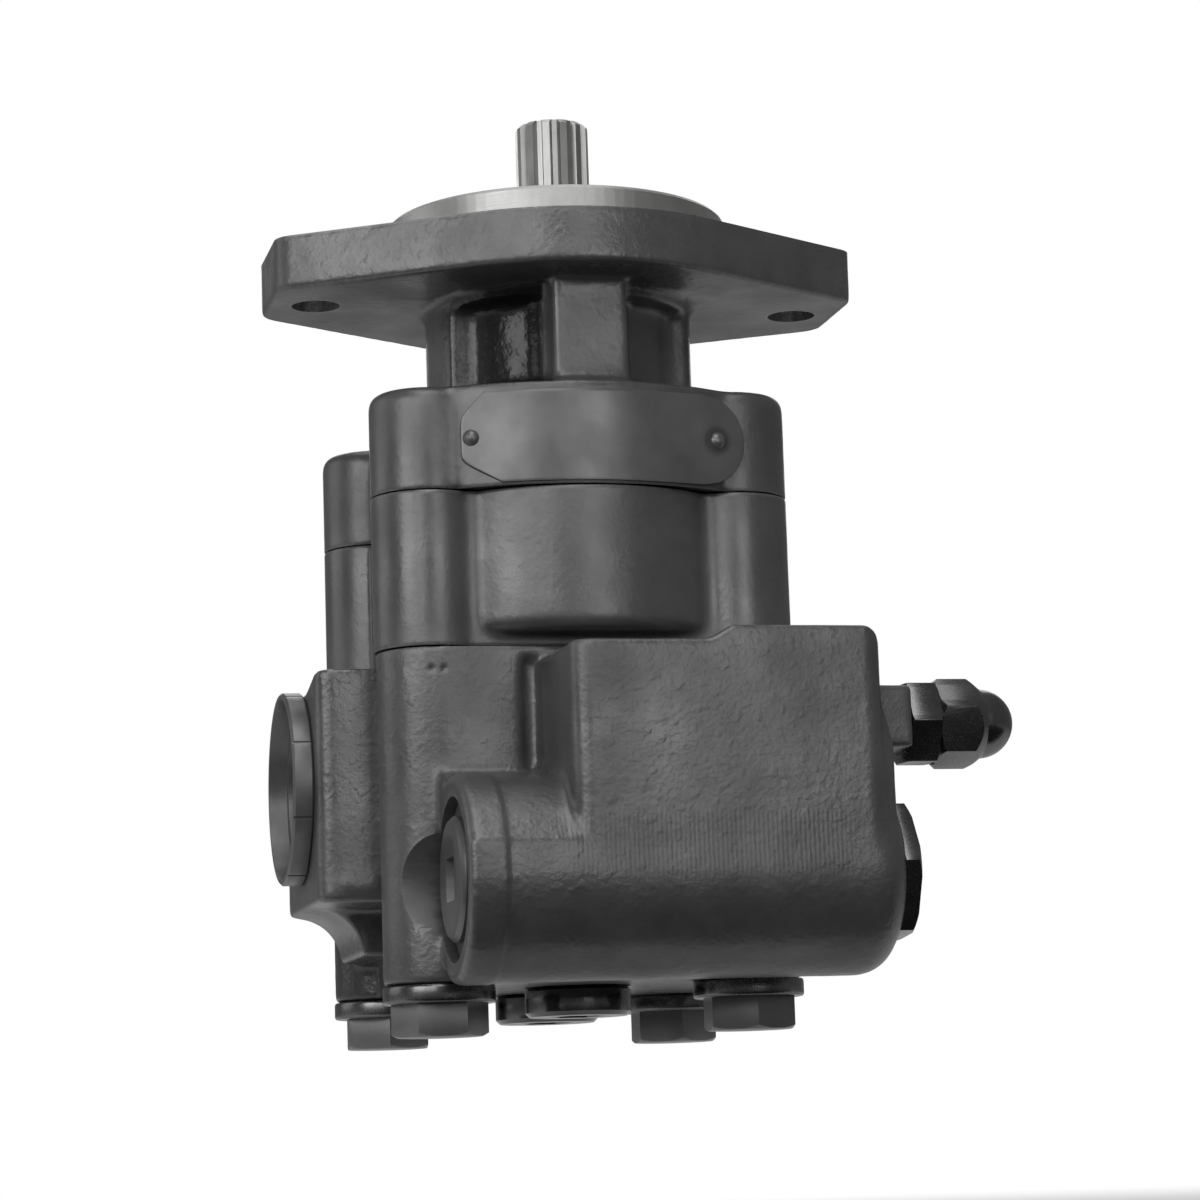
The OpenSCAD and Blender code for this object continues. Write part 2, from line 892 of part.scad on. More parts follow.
// A plain bearing with bevelled ends and one oil groove along its bore
module bushing(z0, z1) {
    bore_r = journal_r + running_gap;
    bevel = 0.8;
    color(bronze_colour)
        difference() {
            rotate_extrude()
                polygon([
                    [bore_r + bevel, z0], [bushing_r - bevel, z0], [bushing_r, z0 + bevel],
                    [bushing_r, z1 - bevel], [bushing_r - bevel, z1], [bore_r + bevel, z1],
                    [bore_r, z1 - bevel], [bore_r, z0 + bevel],
                ]);
            translate([bore_r - 1, -1.5, z0 - overcut])
                cube([2, 3, z1 - z0 + 2 * overcut]);
        }
}

module drive_front_bushing() {
    bushing(joint_1, drive_bushing_top);
}

module driven_front_bushing() {
    translate(gear_axes[1])
        bushing(joint_1, driven_bushing_top);
}

module drive_rear_bushing() {
    bushing(rear_bushing_end, joint_2);
}

module driven_rear_bushing() {
    translate(gear_axes[1])
        bushing(rear_bushing_end, joint_2);
}

// ---- outboard bearing and shaft seal ----

module race_groove() {
    translate([ball_path_r, bearing_mid_z])
        circle(r = ball_r + race_gap, $fn = 64);
}

module bearing_outer_ring() {
    color(steel_colour)
        rotate_extrude()
            difference() {
                translate([22.2, bearing_seat_z])
                    square([bearing_bore_r - 22.2, bearing_w]);
                race_groove();
            }
}

module bearing_inner_ring() {
    color(steel_colour)
        rotate_extrude()
            difference() {
                translate([seat_r, bearing_seat_z])
                    square([16.3 - seat_r, bearing_w]);
                race_groove();
            }
}

module at_balls() {
    for (k = [0:ball_count - 1])
        rotate([0, 0, k * 360 / ball_count])
            translate([ball_path_r, 0, bearing_mid_z])
                children();
}

module bearing_balls() {
    color(steel_colour)
        at_balls()
            sphere(r = ball_r, $fn = 48);
}

module bearing_cage() {
    half_w = 5;
    color(brass_colour)
        difference() {
            ring(20.3, 18.2, bearing_mid_z - half_w, bearing_mid_z + half_w);
            at_balls()
                rotate([0, 90, 0])
                    cylinder(r = ball_r + 0.2, h = 8, center = true);
        }
}

// A snap ring with two drilled ears at its gap
module bearing_retaining_ring() {
    z0 = snap_groove_z[0] + 0.05;
    t = snap_groove_z[1] - snap_groove_z[0] - 0.1;
    inner = 23.2;
    ear_r = 3;
    ear_at = 21;
    spread = 12;
    color(black_colour)
        translate([0, 0, z0])
            linear_extrude(t)
                difference() {
                    union() {
                        difference() {
                            circle(r = snap_groove_r - 0.2);
                            circle(r = inner);
                            polygon([[0, 0], polar(40, -spread), polar(40, spread)]);
                        }
                        for (a = [-1, 1])
                            translate(polar(inner - 0.5, a * (spread + 6)))
                                circle(r = ear_r);
                    }
                    for (a = [-1, 1])
                        translate(polar(inner - 0.5, a * (spread + 6)))
                            circle(r = 1.2, $fn = 24);
                }
}

module shaft_seal_case() {
    z1 = seal_seat_z + 8;
    color(steel_colour)
        rotate_extrude()
            polygon([
                [seal_bore_r, seal_seat_z], [seal_bore_r, z1], [17, z1],
                [17, z1 - 1], [seal_bore_r - 1, z1 - 1], [seal_bore_r - 1, seal_seat_z],
            ]);
}

module shaft_seal_lip() {
    z1 = seal_seat_z + 8;
    contact = seal_land_r + running_gap;
    color(rubber_colour)
        rotate_extrude()
            polygon([
                [seal_bore_r - 1, z1 - 1], [17, z1 - 1], [17, z1], [16, z1], [15.2, seal_seat_z + 4],
                [contact, seal_seat_z + 2.5], [contact, seal_seat_z + 2],
                [15.5, seal_seat_z + 1], [17, seal_seat_z + 1], [17.5, seal_seat_z + 5.5],
                [seal_bore_r - 1, seal_seat_z + 5.5],
            ]);
}

// ---- fasteners ----

module dowel_pins() {
    color(steel_colour)
        at_dowels() {
            bevelled(dowel_r, joint_1 - dowel_half_len, joint_1 + dowel_half_len, 0.6);
            bevelled(dowel_r, joint_2 - dowel_half_len, joint_2 + dowel_half_len, 0.6);
        }
}

module tie_bolt(turn) {
    head_top = bottom_z - washer_t;
    union() {
        bevelled(tie_bolt_r, head_top - overcut, tie_bolt_top, 1);
        rotate([0, 0, turn])
            hex_prism(tie_head_af, head_top - tie_head_h, head_top, [1, 1.7], [0.01, 0.01]);
    }
}

module tie_bolts() {
    color(black_colour)
        for (i = [0, 1])
            for (j = [0, 1])
                translate([(2 * i - 1) * bolt_x, bolt_ys[j], 0])
                    tie_bolt(tie_head_turn[i][j]);
}

module tie_bolt_washers() {
    color(black_colour)
        at_bolts()
            difference() {
                bevelled(washer_r, bottom_z - washer_t, bottom_z, 0.5);
                drum(tie_bolt_r + 0.3, bottom_z - washer_t - overcut, bottom_z + overcut);
            }
}

// ---- nameplate ----

// Curved front of the shaft end cover with its right lobe, grown outwards by extra
module cover_front_drum(extra) {
    height = plate_z[1] - plate_z[0] + 10;
    translate([0, 0, plate_z[0] - 5]) {
        translate([0, cover_front_y + cover_arc_r])
            cylinder(r = cover_arc_r + extra, h = height, $fn = 180);
        translate([bolt_x, bolt_ys[0]])
            cylinder(r = lobe_r + extra, h = height);
    }
}

// Clipped at the left, round at the right
module plate_outline() {
    end_x = plate_x[1] - plate_end_r;
    polygon([
        [plate_x[0] + plate_clip_low[0], plate_z[0]], [end_x, plate_z[0]],
        [end_x, plate_z[1]], [plate_x[0] + plate_clip_high[0], plate_z[1]],
        [plate_x[0], plate_z[1] - plate_clip_high[1]],
        [plate_x[0], plate_z[0] + plate_clip_low[1]],
    ]);
    translate([end_x, (plate_z[0] + plate_z[1]) / 2])
        circle(r = plate_end_r);
}

// The plate follows the cover's front and runs on over its right lobe
module nameplate() {
    color(cast_colour)
        difference() {
            intersection() {
                cover_front_drum(plate_t);
                rotate([90, 0, 0])
                    linear_extrude(80)
                        plate_outline();
            }
            cover_front_drum(0);
            rivet_places()
                drum(rivet_r, -3, 5);
        }
}

// Each rivet's own frame: z is the outward normal where it meets the cover
module rivet_places() {
    plate_mid_z = (plate_z[0] + plate_z[1]) / 2;
    for (x = rivet_xs)
        translate([0, cover_front_y + cover_arc_r, plate_mid_z])
            rotate([0, 0, asin(x / cover_arc_r)])
                translate([0, -cover_arc_r, 0])
                    rotate([90, 0, 0])
                        children();
}

module nameplate_rivets() {
    color(steel_colour)
        rivet_places() {
            drum(rivet_r, -6, plate_t + 0.2);
            intersection() {
                translate([0, 0, plate_t - 1])
                    sphere(r = rivet_head_r, $fn = 48);
                drum(rivet_head_r + 1, plate_t, plate_t + 4);
            }
        }
}

// ---- ports ----

// Thin-rimmed ring threaded into the inlet pad, with shallow spanner grooves
module inlet_adaptor() {
    rim = pad_left - adaptor_left;
    color(cast_colour)
        along_x(adaptor_left, [centre_y, port_z])
            difference() {
                union() {
                    bevelled(adaptor_r, 0, rim, 0.6);
                    drum(adaptor_thread_r, rim - overcut, rim + adaptor_depth - oring_seat_t - 0.1);
                }
                drum(adaptor_mouth_r, -overcut, rim - 0.5);
                drum(inlet_r, -overcut, rim + adaptor_depth + overcut);
                for (k = [0:7])
                    rotate([0, 0, k * 45 + 22.5])
                        translate([adaptor_r - 0.5, -0.4, -overcut])
                            cube([2, 0.8, rim + overcut - 0.5]);
            }
}

module inlet_adaptor_seal() {
    color(rubber_colour)
        along_x(pad_left, [centre_y, port_z])
            oring(adaptor_thread_r - oring_seat_w, adaptor_depth - oring_seat_t / 2);
}

// Threaded plug for the machining hole behind a journal, with a hexagonal socket
module bore_plug() {
    color(black_colour)
        difference() {
            union() {
                bevelled(plug_head_r, plug_face_z, bottom_z, 1.2);
                drum(plug_thread_r, bottom_z - overcut, bottom_z + 17);
            }
            hex_socket(14, plug_face_z - overcut, plug_face_z + 10);
        }
}

module drive_bore_plug() {
    bore_plug();
}

module driven_bore_plug() {
    translate(gear_axes[1])
        bore_plug();
}

module bore_plug_seals() {
    color(rubber_colour)
        for (at = gear_axes)
            translate(at)
                oring(plug_thread_r, bottom_z + oring_seat_t / 2);
}

// ---- priority valve ----

spool_x = [-26, 40];
spring_seat_depth = 6;

// Lands and grooves of the spool, in distances from its left end
module priority_spool() {
    length = spool_x[1] - spool_x[0];
    groove_r = 7.2;
    stop_r = 6;
    color(steel_colour)
        along_x(spool_x[0], barrel_at)
            difference() {
                rotate_extrude()
                    polygon([
                        [0, 0], [stop_r, 0], [stop_r, 3], [spool_r, 3], [spool_r, 16],
                        [groove_r, 16], [groove_r, 24], [spool_r, 24], [spool_r, 42],
                        [groove_r, 42], [groove_r, 56], [spool_r, 56], [spool_r, length],
                        [0, length],
                    ]);
                drum(8.2, length - spring_seat_depth, length + overcut);
                drum(1.5, 30, length);
            }
}

spool_spring_x = [spool_x[1] - spring_seat_depth + 0.1, right_thread_end - 0.1];

// Helical spring along +Z with its end coils closed
module coil_spring(length, coil_r, wire_r, turns) {
    sides = 8;
    rings_per_turn = 18;
    dead = 1;
    count = (turns + 2 * dead) * rings_per_turn;
    rise = length - 2 * wire_r - 2 * dead * wire_r * 2.1;
    function climb(t) =
        t < dead ? t * wire_r * 2.1
        : t > dead + turns ? dead * wire_r * 2.1 + rise + (t - dead - turns) * wire_r * 2.1
        : dead * wire_r * 2.1 + rise * (t - dead) / turns;
    points = [
        for (i = [0:count])
            let (t = i / rings_per_turn, a = t * 360)
                for (s = [0:sides - 1])
                    let (b = s * 360 / sides, r = coil_r + wire_r * cos(b))
                        [r * cos(a), r * sin(a), wire_r + climb(t) + wire_r * sin(b)]
    ];
    walls = [
        for (i = [0:count - 1])
            for (s = [0:sides - 1])
                let (n = (s + 1) % sides)
                    [i * sides + s, (i + 1) * sides + s, (i + 1) * sides + n, i * sides + n]
    ];
    ends = [[for (s = [0:sides - 1]) s], [for (s = [sides - 1:-1:0]) count * sides + s]];
    polyhedron(points, concat(walls, ends));
}

module spool_spring() {
    color(steel_colour)
        along_x(spool_spring_x[0], barrel_at)
            coil_spring(spool_spring_x[1] - spool_spring_x[0], 6.6, 1.1, 4);
}

module spool_end_plug() {
    color(black_colour)
        along_x(0, barrel_at) {
            drum(right_thread_r, right_thread_end, barrel_x[1] + 0.5);
            rotate([0, 0, hex_plug_turn])
                hex_prism(hex_plug_af, barrel_x[1], hex_plug_face, [0.01, 0.01], [1.2, 2]);
        }
}

// Plug with a square socket, and a stem that stops the spool
module spool_socket_plug() {
    color(black_colour)
        along_x(0, barrel_at)
            difference() {
                union() {
                    bevelled(socket_plug_r, socket_plug_face, spotface_x, 1.3);
                    drum(left_thread_r, spotface_x - 0.5, left_thread_end);
                    drum(5, left_thread_end - 0.5, spool_x[0] - wall_gap);
                }
                translate([-socket_w / 2, -socket_w / 2, socket_plug_face - overcut])
                    cube([socket_w, socket_w, 10]);
            }
}

module spool_plug_seals() {
    color(rubber_colour)
        along_x(0, barrel_at) {
            oring(left_thread_r, spotface_x + oring_seat_t / 2);
            oring(right_thread_r, barrel_x[1] - oring_seat_t / 2);
        }
}

// ---- relief valve ----

poppet_x = [relief_seat_x[1] + 0.05, relief_seat_x[1] + 14];
poppet_head = 6;
screw_nose_x = 62;
screw_seal_x = 65.5;
relief_spring_x = [poppet_x[0] + poppet_head + 0.1, screw_nose_x - 0.1];

module relief_seat() {
    color(steel_colour)
        along_x(0, relief_at)
            ring(relief_bore_r, 2.5, relief_seat_x[0], relief_seat_x[1]);
}

module relief_poppet() {
    guide_r = relief_bore_r - 0.08;
    color(steel_colour)
        along_x(0, relief_at)
            rotate_extrude()
                polygon([
                    [0, poppet_x[0] - 2.5], [1, poppet_x[0] - 2.5], [2.4, poppet_x[0]],
                    [guide_r, poppet_x[0]], [guide_r, poppet_x[0] + poppet_head],
                    [2.6, poppet_x[0] + poppet_head], [2.6, poppet_x[1]], [0, poppet_x[1]],
                ]);
}

module relief_spring() {
    color(steel_colour)
        along_x(relief_spring_x[0], relief_at)
            coil_spring(relief_spring_x[1] - relief_spring_x[0], 4.2, 0.9, 4);
}

// Screw with a sealed nose; its thread carries the lock nut and the cap nut
module relief_adjusting_screw() {
    nose_r = relief_bore_r - 0.05;
    groove = [screw_seal_x - oring_r - 0.1, screw_seal_x + oring_r + 0.1];
    color(black_colour)
        along_x(0, relief_at)
            rotate_extrude()
                polygon([
                    [0, screw_nose_x], [nose_r - 0.5, screw_nose_x], [nose_r, screw_nose_x + 0.5],
                    [nose_r, groove[0]], [nose_r - 2 * oring_r, groove[0]],
                    [nose_r - 2 * oring_r, groove[1]], [nose_r, groove[1]],
                    [nose_r, relief_thread_start], [relief_screw_r, relief_thread_start],
                    [relief_screw_r, cap_nut_x[1] - 3], [relief_screw_r - 1, cap_nut_x[1] - 2],
                    [0, cap_nut_x[1] - 2],
                ]);
}

module relief_screw_seal() {
    color(rubber_colour)
        along_x(screw_seal_x, relief_at)
            rotate_extrude()
                translate([relief_bore_r - oring_r - 0.02, 0])
                    circle(r = oring_r, $fn = 32);
}

module relief_lock_nut() {
    color(black_colour)
        along_x(0, relief_at)
            difference() {
                rotate([0, 0, lock_nut_turn])
                    hex_prism(nut_af, lock_nut_x[0], lock_nut_x[1], [0.5, 0.8], [0.8, 1.3]);
                drum(relief_screw_r, lock_nut_x[0] - overcut, lock_nut_x[1] + overcut);
            }
}

// Blind cap nut with a domed end
module relief_cap_nut() {
    corner = nut_af / sqrt(3);
    color(black_colour)
        along_x(0, relief_at)
            difference() {
                union() {
                    rotate([0, 0, cap_nut_turn])
                        hex_prism(nut_af, cap_nut_x[0], cap_nut_x[1], [1.2, 1.3], [4, corner - cap_dome_r]);
                    translate([0, 0, cap_nut_x[1]])
                        sphere(r = cap_dome_r);
                }
                drum(relief_screw_r, cap_nut_x[0] - overcut, cap_nut_x[1] - 1);
            }
}

shaft_end_cover();
gear_housing();
port_end_cover();
drive_gear_shaft();
driven_gear_shaft();
front_thrust_plate();
rear_thrust_plate();
front_pocket_seal();
rear_pocket_seal();
front_housing_seal();
rear_housing_seal();
drive_front_bushing();
driven_front_bushing();
drive_rear_bushing();
driven_rear_bushing();
bearing_outer_ring();
bearing_inner_ring();
bearing_balls();
bearing_cage();
bearing_retaining_ring();
shaft_seal_case();
shaft_seal_lip();
dowel_pins();
tie_bolts();
tie_bolt_washers();
nameplate();
nameplate_rivets();
inlet_adaptor();
inlet_adaptor_seal();
drive_bore_plug();
driven_bore_plug();
bore_plug_seals();
priority_spool();
spool_spring();
spool_end_plug();
spool_socket_plug();
spool_plug_seals();
relief_seat();
relief_poppet();
relief_spring();
relief_adjusting_screw();
relief_screw_seal();
relief_lock_nut();
relief_cap_nut();
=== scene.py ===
"""Looks of the hydraulic gear pump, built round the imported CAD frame.

The castings are remeshed so that cast edges get fillets and cast skin, while machined faces stay crisp.
Turned and hexagonal pieces get broken edges. Every material is procedural. Sizes are in metres.
"""

import json
import math

import bmesh
import bpy
import numpy as np
from mathutils import Matrix, Vector
from mathutils.bvhtree import BVHTree

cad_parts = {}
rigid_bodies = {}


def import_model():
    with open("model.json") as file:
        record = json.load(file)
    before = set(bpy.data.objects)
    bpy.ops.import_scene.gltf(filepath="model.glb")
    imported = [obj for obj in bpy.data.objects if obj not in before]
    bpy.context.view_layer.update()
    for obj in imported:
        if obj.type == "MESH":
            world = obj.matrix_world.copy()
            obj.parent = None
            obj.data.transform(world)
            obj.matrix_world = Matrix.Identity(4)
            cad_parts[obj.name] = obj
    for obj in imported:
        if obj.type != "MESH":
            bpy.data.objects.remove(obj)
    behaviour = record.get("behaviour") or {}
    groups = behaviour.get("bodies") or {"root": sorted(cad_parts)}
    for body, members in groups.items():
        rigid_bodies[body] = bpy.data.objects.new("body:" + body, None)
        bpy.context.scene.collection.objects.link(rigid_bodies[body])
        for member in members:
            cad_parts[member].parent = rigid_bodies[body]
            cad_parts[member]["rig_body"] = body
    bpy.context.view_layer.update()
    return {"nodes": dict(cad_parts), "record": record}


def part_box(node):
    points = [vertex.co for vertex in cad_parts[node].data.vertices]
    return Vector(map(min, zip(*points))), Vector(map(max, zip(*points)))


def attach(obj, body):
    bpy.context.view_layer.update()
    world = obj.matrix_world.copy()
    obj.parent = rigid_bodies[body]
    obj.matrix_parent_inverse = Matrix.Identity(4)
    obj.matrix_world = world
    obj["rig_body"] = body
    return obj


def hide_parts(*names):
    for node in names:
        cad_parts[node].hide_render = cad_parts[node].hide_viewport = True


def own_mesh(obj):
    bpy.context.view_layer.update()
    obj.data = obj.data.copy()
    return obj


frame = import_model()
nodes = frame["nodes"]
scene = bpy.context.scene

MM = 0.001
CASING = "pump_casing"
MOST_FACES = 190_000  # of one casting, under the export's own limit
SPOOL_TRAVEL = 6 * MM
POPPET_TRAVEL = 2 * MM

# Light and floor
LIGHT_DISTANCE = 1.4
LIGHT_TARGET_Z = -0.12
ROOM_GREY = 0.17
FLOOR_Z = -0.31
FLOOR_R = 6

# How far machined surfaces reach round the joints, gears and tie bolts, and the soft edge of the cast skin
JOINT_EDGE = (0.3 * MM, 1.5 * MM)
GEAR_ROOM = 33 * MM
BOLT_EDGE = (10 * MM, 12 * MM)
SPOTFACE_DEPTH = 3 * MM

# Nameplate and its rivets
PLATE_PROUD = 0.9 * MM
PLATE_BACK = -0.6 * MM
RIVET_HEAD_R = 2.8 * MM
RIVET_HEAD_H = 1.5 * MM

RIB_SPACING = 1.3 * MM
LINE_SCALE = 2 * math.pi / (20 * RIB_SPACING)  # a wave texture repeats every 2 pi / (20 x scale)

# ---- places, worked out from the frame ----

mounts = {m["name"]: m for m in frame["record"]["mounts"]}
FLANGE_BOLT_X = mounts["flange_bolts"]["dims"]["spacing_x_mm"] * MM / 2
FLANGE_HOLE_R = mounts["flange_bolts"]["dims"]["hole_r_mm"] * MM
GEAR_CENTRES = 2 * mounts["inlet_port"]["pos_m"][1]
PORT_Y, PORT_Z = mounts["inlet_port"]["pos_m"][1:]

housing_low, housing_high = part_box("gear_housing")
JOINT_1 = housing_high.z
JOINT_2 = housing_low.z
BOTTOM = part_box("port_end_cover")[0].z

washer_low, washer_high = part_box("tie_bolt_washers")
WASHER_R = 16 * MM
BOLT_XS = (washer_low.x + WASHER_R, washer_high.x - WASHER_R)
BOLT_YS = (washer_low.y + WASHER_R, washer_high.y - WASHER_R)

plug_low, plug_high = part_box("spool_end_plug")
BARREL_Y = (plug_low.y + plug_high.y) / 2
BARREL_Z = (plug_low.z + plug_high.z) / 2
nut_low, nut_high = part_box("relief_cap_nut")
RELIEF_Y = (nut_low.y + nut_high.y) / 2
RELIEF_Z = (nut_low.z + nut_high.z) / 2
SPOTFACE_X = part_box("spool_socket_plug")[0].x + 4 * MM


# ---- camera, light and floor ----


def add_camera():
    """The view is from the front, a little left, and from below the flange."""
    forward = Vector((0.22047, 0.96310, 0.15439)).normalized()
    right = Vector((0.97540, -0.21812, -0.03189))
    right = (right - forward * right.dot(forward)).normalized()
    up = right.cross(forward)
    camera = bpy.data.objects.new("camera", bpy.data.cameras.new("camera"))
    scene.collection.objects.link(camera)
    turn = Matrix((right, up, -forward)).transposed().to_4x4()
    camera.matrix_world = Matrix.Translation((-0.22431, -1.02545, -0.26795)) @ turn
    camera.data.sensor_width = 36
    camera.data.lens = 107.4
    camera.data.clip_end = 20
    scene.camera = camera


def add_softbox(name, azimuth, elevation, size, power):
    """A square area light that faces the pump. Azimuth is in degrees from the front, to the right."""
    a, e = math.radians(azimuth), math.radians(elevation)
    out = Vector((math.sin(a) * math.cos(e), -math.cos(a) * math.cos(e), math.sin(e)))
    light = bpy.data.lights.new(name, "AREA")
    light.size = size
    light.energy = power
    box = bpy.data.objects.new(name, light)
    scene.collection.objects.link(box)
    target = Vector((0, 0, LIGHT_TARGET_Z))
    box.matrix_world = (
        Matrix.Translation(target + LIGHT_DISTANCE * out) @ (-out).to_track_quat("-Z", "Y").to_matrix().to_4x4()
    )


def add_light():
    for name, azimuth, elevation, size, power in (
        ("left_softbox", -52, 16, 0.6, 4.0),
        ("upper_softbox", -12, 34, 0.7, 2.6),
        ("high_softbox", -8, 62, 0.7, 4.4),
        ("front_softbox", -28, 14, 0.5, 2.0),
        ("right_softbox", 10, 9, 0.5, 1.8),
        ("top_softbox", 10, 100, 0.9, 3.5),
        ("far_left_softbox", -112, 16, 0.8, 1.7),
        ("rear_softbox", 165, 30, 1.0, 4.5),
    ):
        add_softbox(name, azimuth, elevation, size, power)
    add_flag()


def add_flag():
    """A black card below the front that keeps light off the undersides of curved faces. No camera sees it."""
    mesh = bpy.data.meshes.new("flag")
    left, right, front, back, z = -0.7, 0.8, -0.95, -0.085, -0.295
    corners = [(left, front, z), (right, front, z), (right, back, z), (left, back, z)]
    mesh.from_pydata(corners, [], [(0, 1, 2, 3)])
    flag = bpy.data.objects.new("flag", mesh)
    scene.collection.objects.link(flag)
    mesh.materials.append(plain_material("flag_black", (0.01, 0.01, 0.01), 0.9))
    flag.visible_camera = False
    flag.visible_shadow = False


def add_backdrop():
    """A pale floor well below the pump that fades into a white surround."""
    world = bpy.data.worlds.new("surround")
    scene.world = world
    world.use_nodes = True
    tree = world.node_tree
    tree.nodes.clear()
    out = tree.nodes.new("ShaderNodeOutputWorld")
    mix = tree.nodes.new("ShaderNodeMixShader")
    path = tree.nodes.new("ShaderNodeLightPath")
    seen = tree.nodes.new("ShaderNodeBackground")
    seen.inputs["Color"].default_value = (1, 1, 1, 1)
    room = tree.nodes.new("ShaderNodeBackground")
    room.inputs["Color"].default_value = (ROOM_GREY, ROOM_GREY, ROOM_GREY, 1)
    tree.links.new(path.outputs["Is Camera Ray"], mix.inputs["Fac"])
    tree.links.new(room.outputs[0], mix.inputs[1])
    tree.links.new(seen.outputs[0], mix.inputs[2])
    tree.links.new(mix.outputs[0], out.inputs["Surface"])

    mesh = bpy.data.meshes.new("floor")
    shape = bmesh.new()
    bmesh.ops.create_circle(shape, cap_ends=True, radius=FLOOR_R, segments=96)
    shape.to_mesh(mesh)
    shape.free()
    floor = bpy.data.objects.new("floor", mesh)
    floor.location.z = FLOOR_Z
    scene.collection.objects.link(floor)
    floor.data.materials.append(floor_paper())


def floor_paper():
    """Pale paper that turns into the white surround away from the pump."""
    g = Graph("floor_paper")
    distance = g.node("ShaderNodeVectorMath")
    distance.operation = "LENGTH"
    g.link(g.place, distance.inputs[0])
    far = g.span(distance.outputs["Value"], 0.7, 2.6, 0.0, 1.0)
    far.node.interpolation_type = "SMOOTHSTEP"
    seen = g.node("ShaderNodeLightPath").outputs["Is Camera Ray"]
    white = g.node("ShaderNodeEmission")
    white.inputs["Color"].default_value = (1, 1, 1, 1)
    mix = g.node("ShaderNodeMixShader")
    g.link(g.maths("MULTIPLY", far, seen), mix.inputs["Fac"])
    g.link(g.shader.outputs[0], mix.inputs[1])
    g.link(white.outputs[0], mix.inputs[2])
    g.link(mix.outputs[0], g.tree.nodes["Material Output"].inputs["Surface"])
    return g.finish((0.84, 0.84, 0.84), 0.6)


# ---- materials ----


def plain_material(name, colour, roughness, metallic=0.0):
    material = bpy.data.materials.new(name)
    material.use_nodes = True
    shader = material.node_tree.nodes["Principled BSDF"]
    shader.inputs["Base Color"].default_value = (*colour, 1)
    shader.inputs["Roughness"].default_value = roughness
    shader.inputs["Metallic"].default_value = metallic
    return material


class Graph:
    """Small helpers for building one material's nodes."""

    def __init__(self, name):
        self.material = plain_material(name, (0.5, 0.5, 0.5), 0.5)
        self.tree = self.material.node_tree
        self.shader = self.tree.nodes["Principled BSDF"]
        self.place = self.node("ShaderNodeTexCoord").outputs["Object"]

    def node(self, kind):
        return self.tree.nodes.new(kind)

    def link(self, source, target):
        self.tree.links.new(source, target)

    def stretched(self, scale):
        mapping = self.node("ShaderNodeMapping")
        mapping.inputs["Scale"].default_value = scale
        self.link(self.place, mapping.inputs["Vector"])
        return mapping.outputs["Vector"]

    def noise(self, scale, detail=3.0, roughness=0.5, place=None):
        noise = self.node("ShaderNodeTexNoise")
        noise.inputs["Scale"].default_value = scale
        noise.inputs["Detail"].default_value = detail
        noise.inputs["Roughness"].default_value = roughness
        self.link(place or self.place, noise.inputs["Vector"])
        return noise.outputs["Fac"]

    def ramp(self, source, stops):
        """stops is a list of (position, grey or colour)."""
        ramp = self.node("ShaderNodeValToRGB")
        elements = ramp.color_ramp.elements
        while len(elements) < len(stops):
            elements.new(0.5)
        for element, (position, value) in zip(elements, stops):
            element.position = position
            element.color = (value, value, value, 1) if isinstance(value, float) else (*value, 1)
        self.link(source, ramp.inputs["Fac"])
        return ramp.outputs["Color"]

    def span(self, source, low, high, out_low, out_high):
        """Maps source from low..high to out_low..out_high, clamped."""
        span = self.node("ShaderNodeMapRange")
        limits = {"From Min": low, "From Max": high, "To Min": out_low, "To Max": out_high}
        for socket, value in limits.items():
            span.inputs[socket].default_value = value
        self.link(source, span.inputs["Value"])
        return span.outputs["Result"]

    def maths(self, kind, a, b):
        maths = self.node("ShaderNodeMath")
        maths.operation = kind
        for socket, value in zip(maths.inputs, (a, b)):
            if isinstance(value, (int, float)):
                socket.default_value = value
            else:
                self.link(value, socket)
        return maths.outputs[0]

    def mixed(self, factor, a, b):
        mix = self.node("ShaderNodeMix")
        mix.data_type = "RGBA"
        for socket, value in ((mix.inputs["Factor"], factor), (mix.inputs[6], a), (mix.inputs[7], b)):
            if isinstance(value, (int, float)):
                socket.default_value = value
            elif isinstance(value, tuple):
                socket.default_value = (*value, 1)
            else:
                self.link(value, socket)
        return mix.outputs[2]

    def attribute(self, name):
        attribute = self.node("ShaderNodeAttribute")
        attribute.attribute_name = name
        return attribute.outputs["Fac"]

    def edges(self, low, high):
        """0 on flat stretches, rising to 1 on convex edges."""
        geometry = self.node("ShaderNodeNewGeometry")
        return self.span(geometry.outputs["Pointiness"], low, high, 0.0, 1.0)

    def bump(self, height, distance, strength=1.0, normal=None):
        bump = self.node("ShaderNodeBump")
        bump.inputs["Distance"].default_value = distance
        bump.inputs["Strength"].default_value = strength
        self.link(height, bump.inputs["Height"])
        if normal:
            self.link(normal, bump.inputs["Normal"])
        return bump.outputs["Normal"]

    def finish(self, colour=None, roughness=None, normal=None, metallic=None):
        for socket, value in (("Base Color", colour), ("Roughness", roughness), ("Metallic", metallic)):
            if isinstance(value, tuple):
                self.shader.inputs[socket].default_value = (*value, 1)
            elif isinstance(value, (int, float)):
                self.shader.inputs[socket].default_value = value
            elif value is not None:
                self.link(value, self.shader.inputs[socket])
        if normal is not None:
            self.link(normal, self.shader.inputs["Normal"])
        return self.material


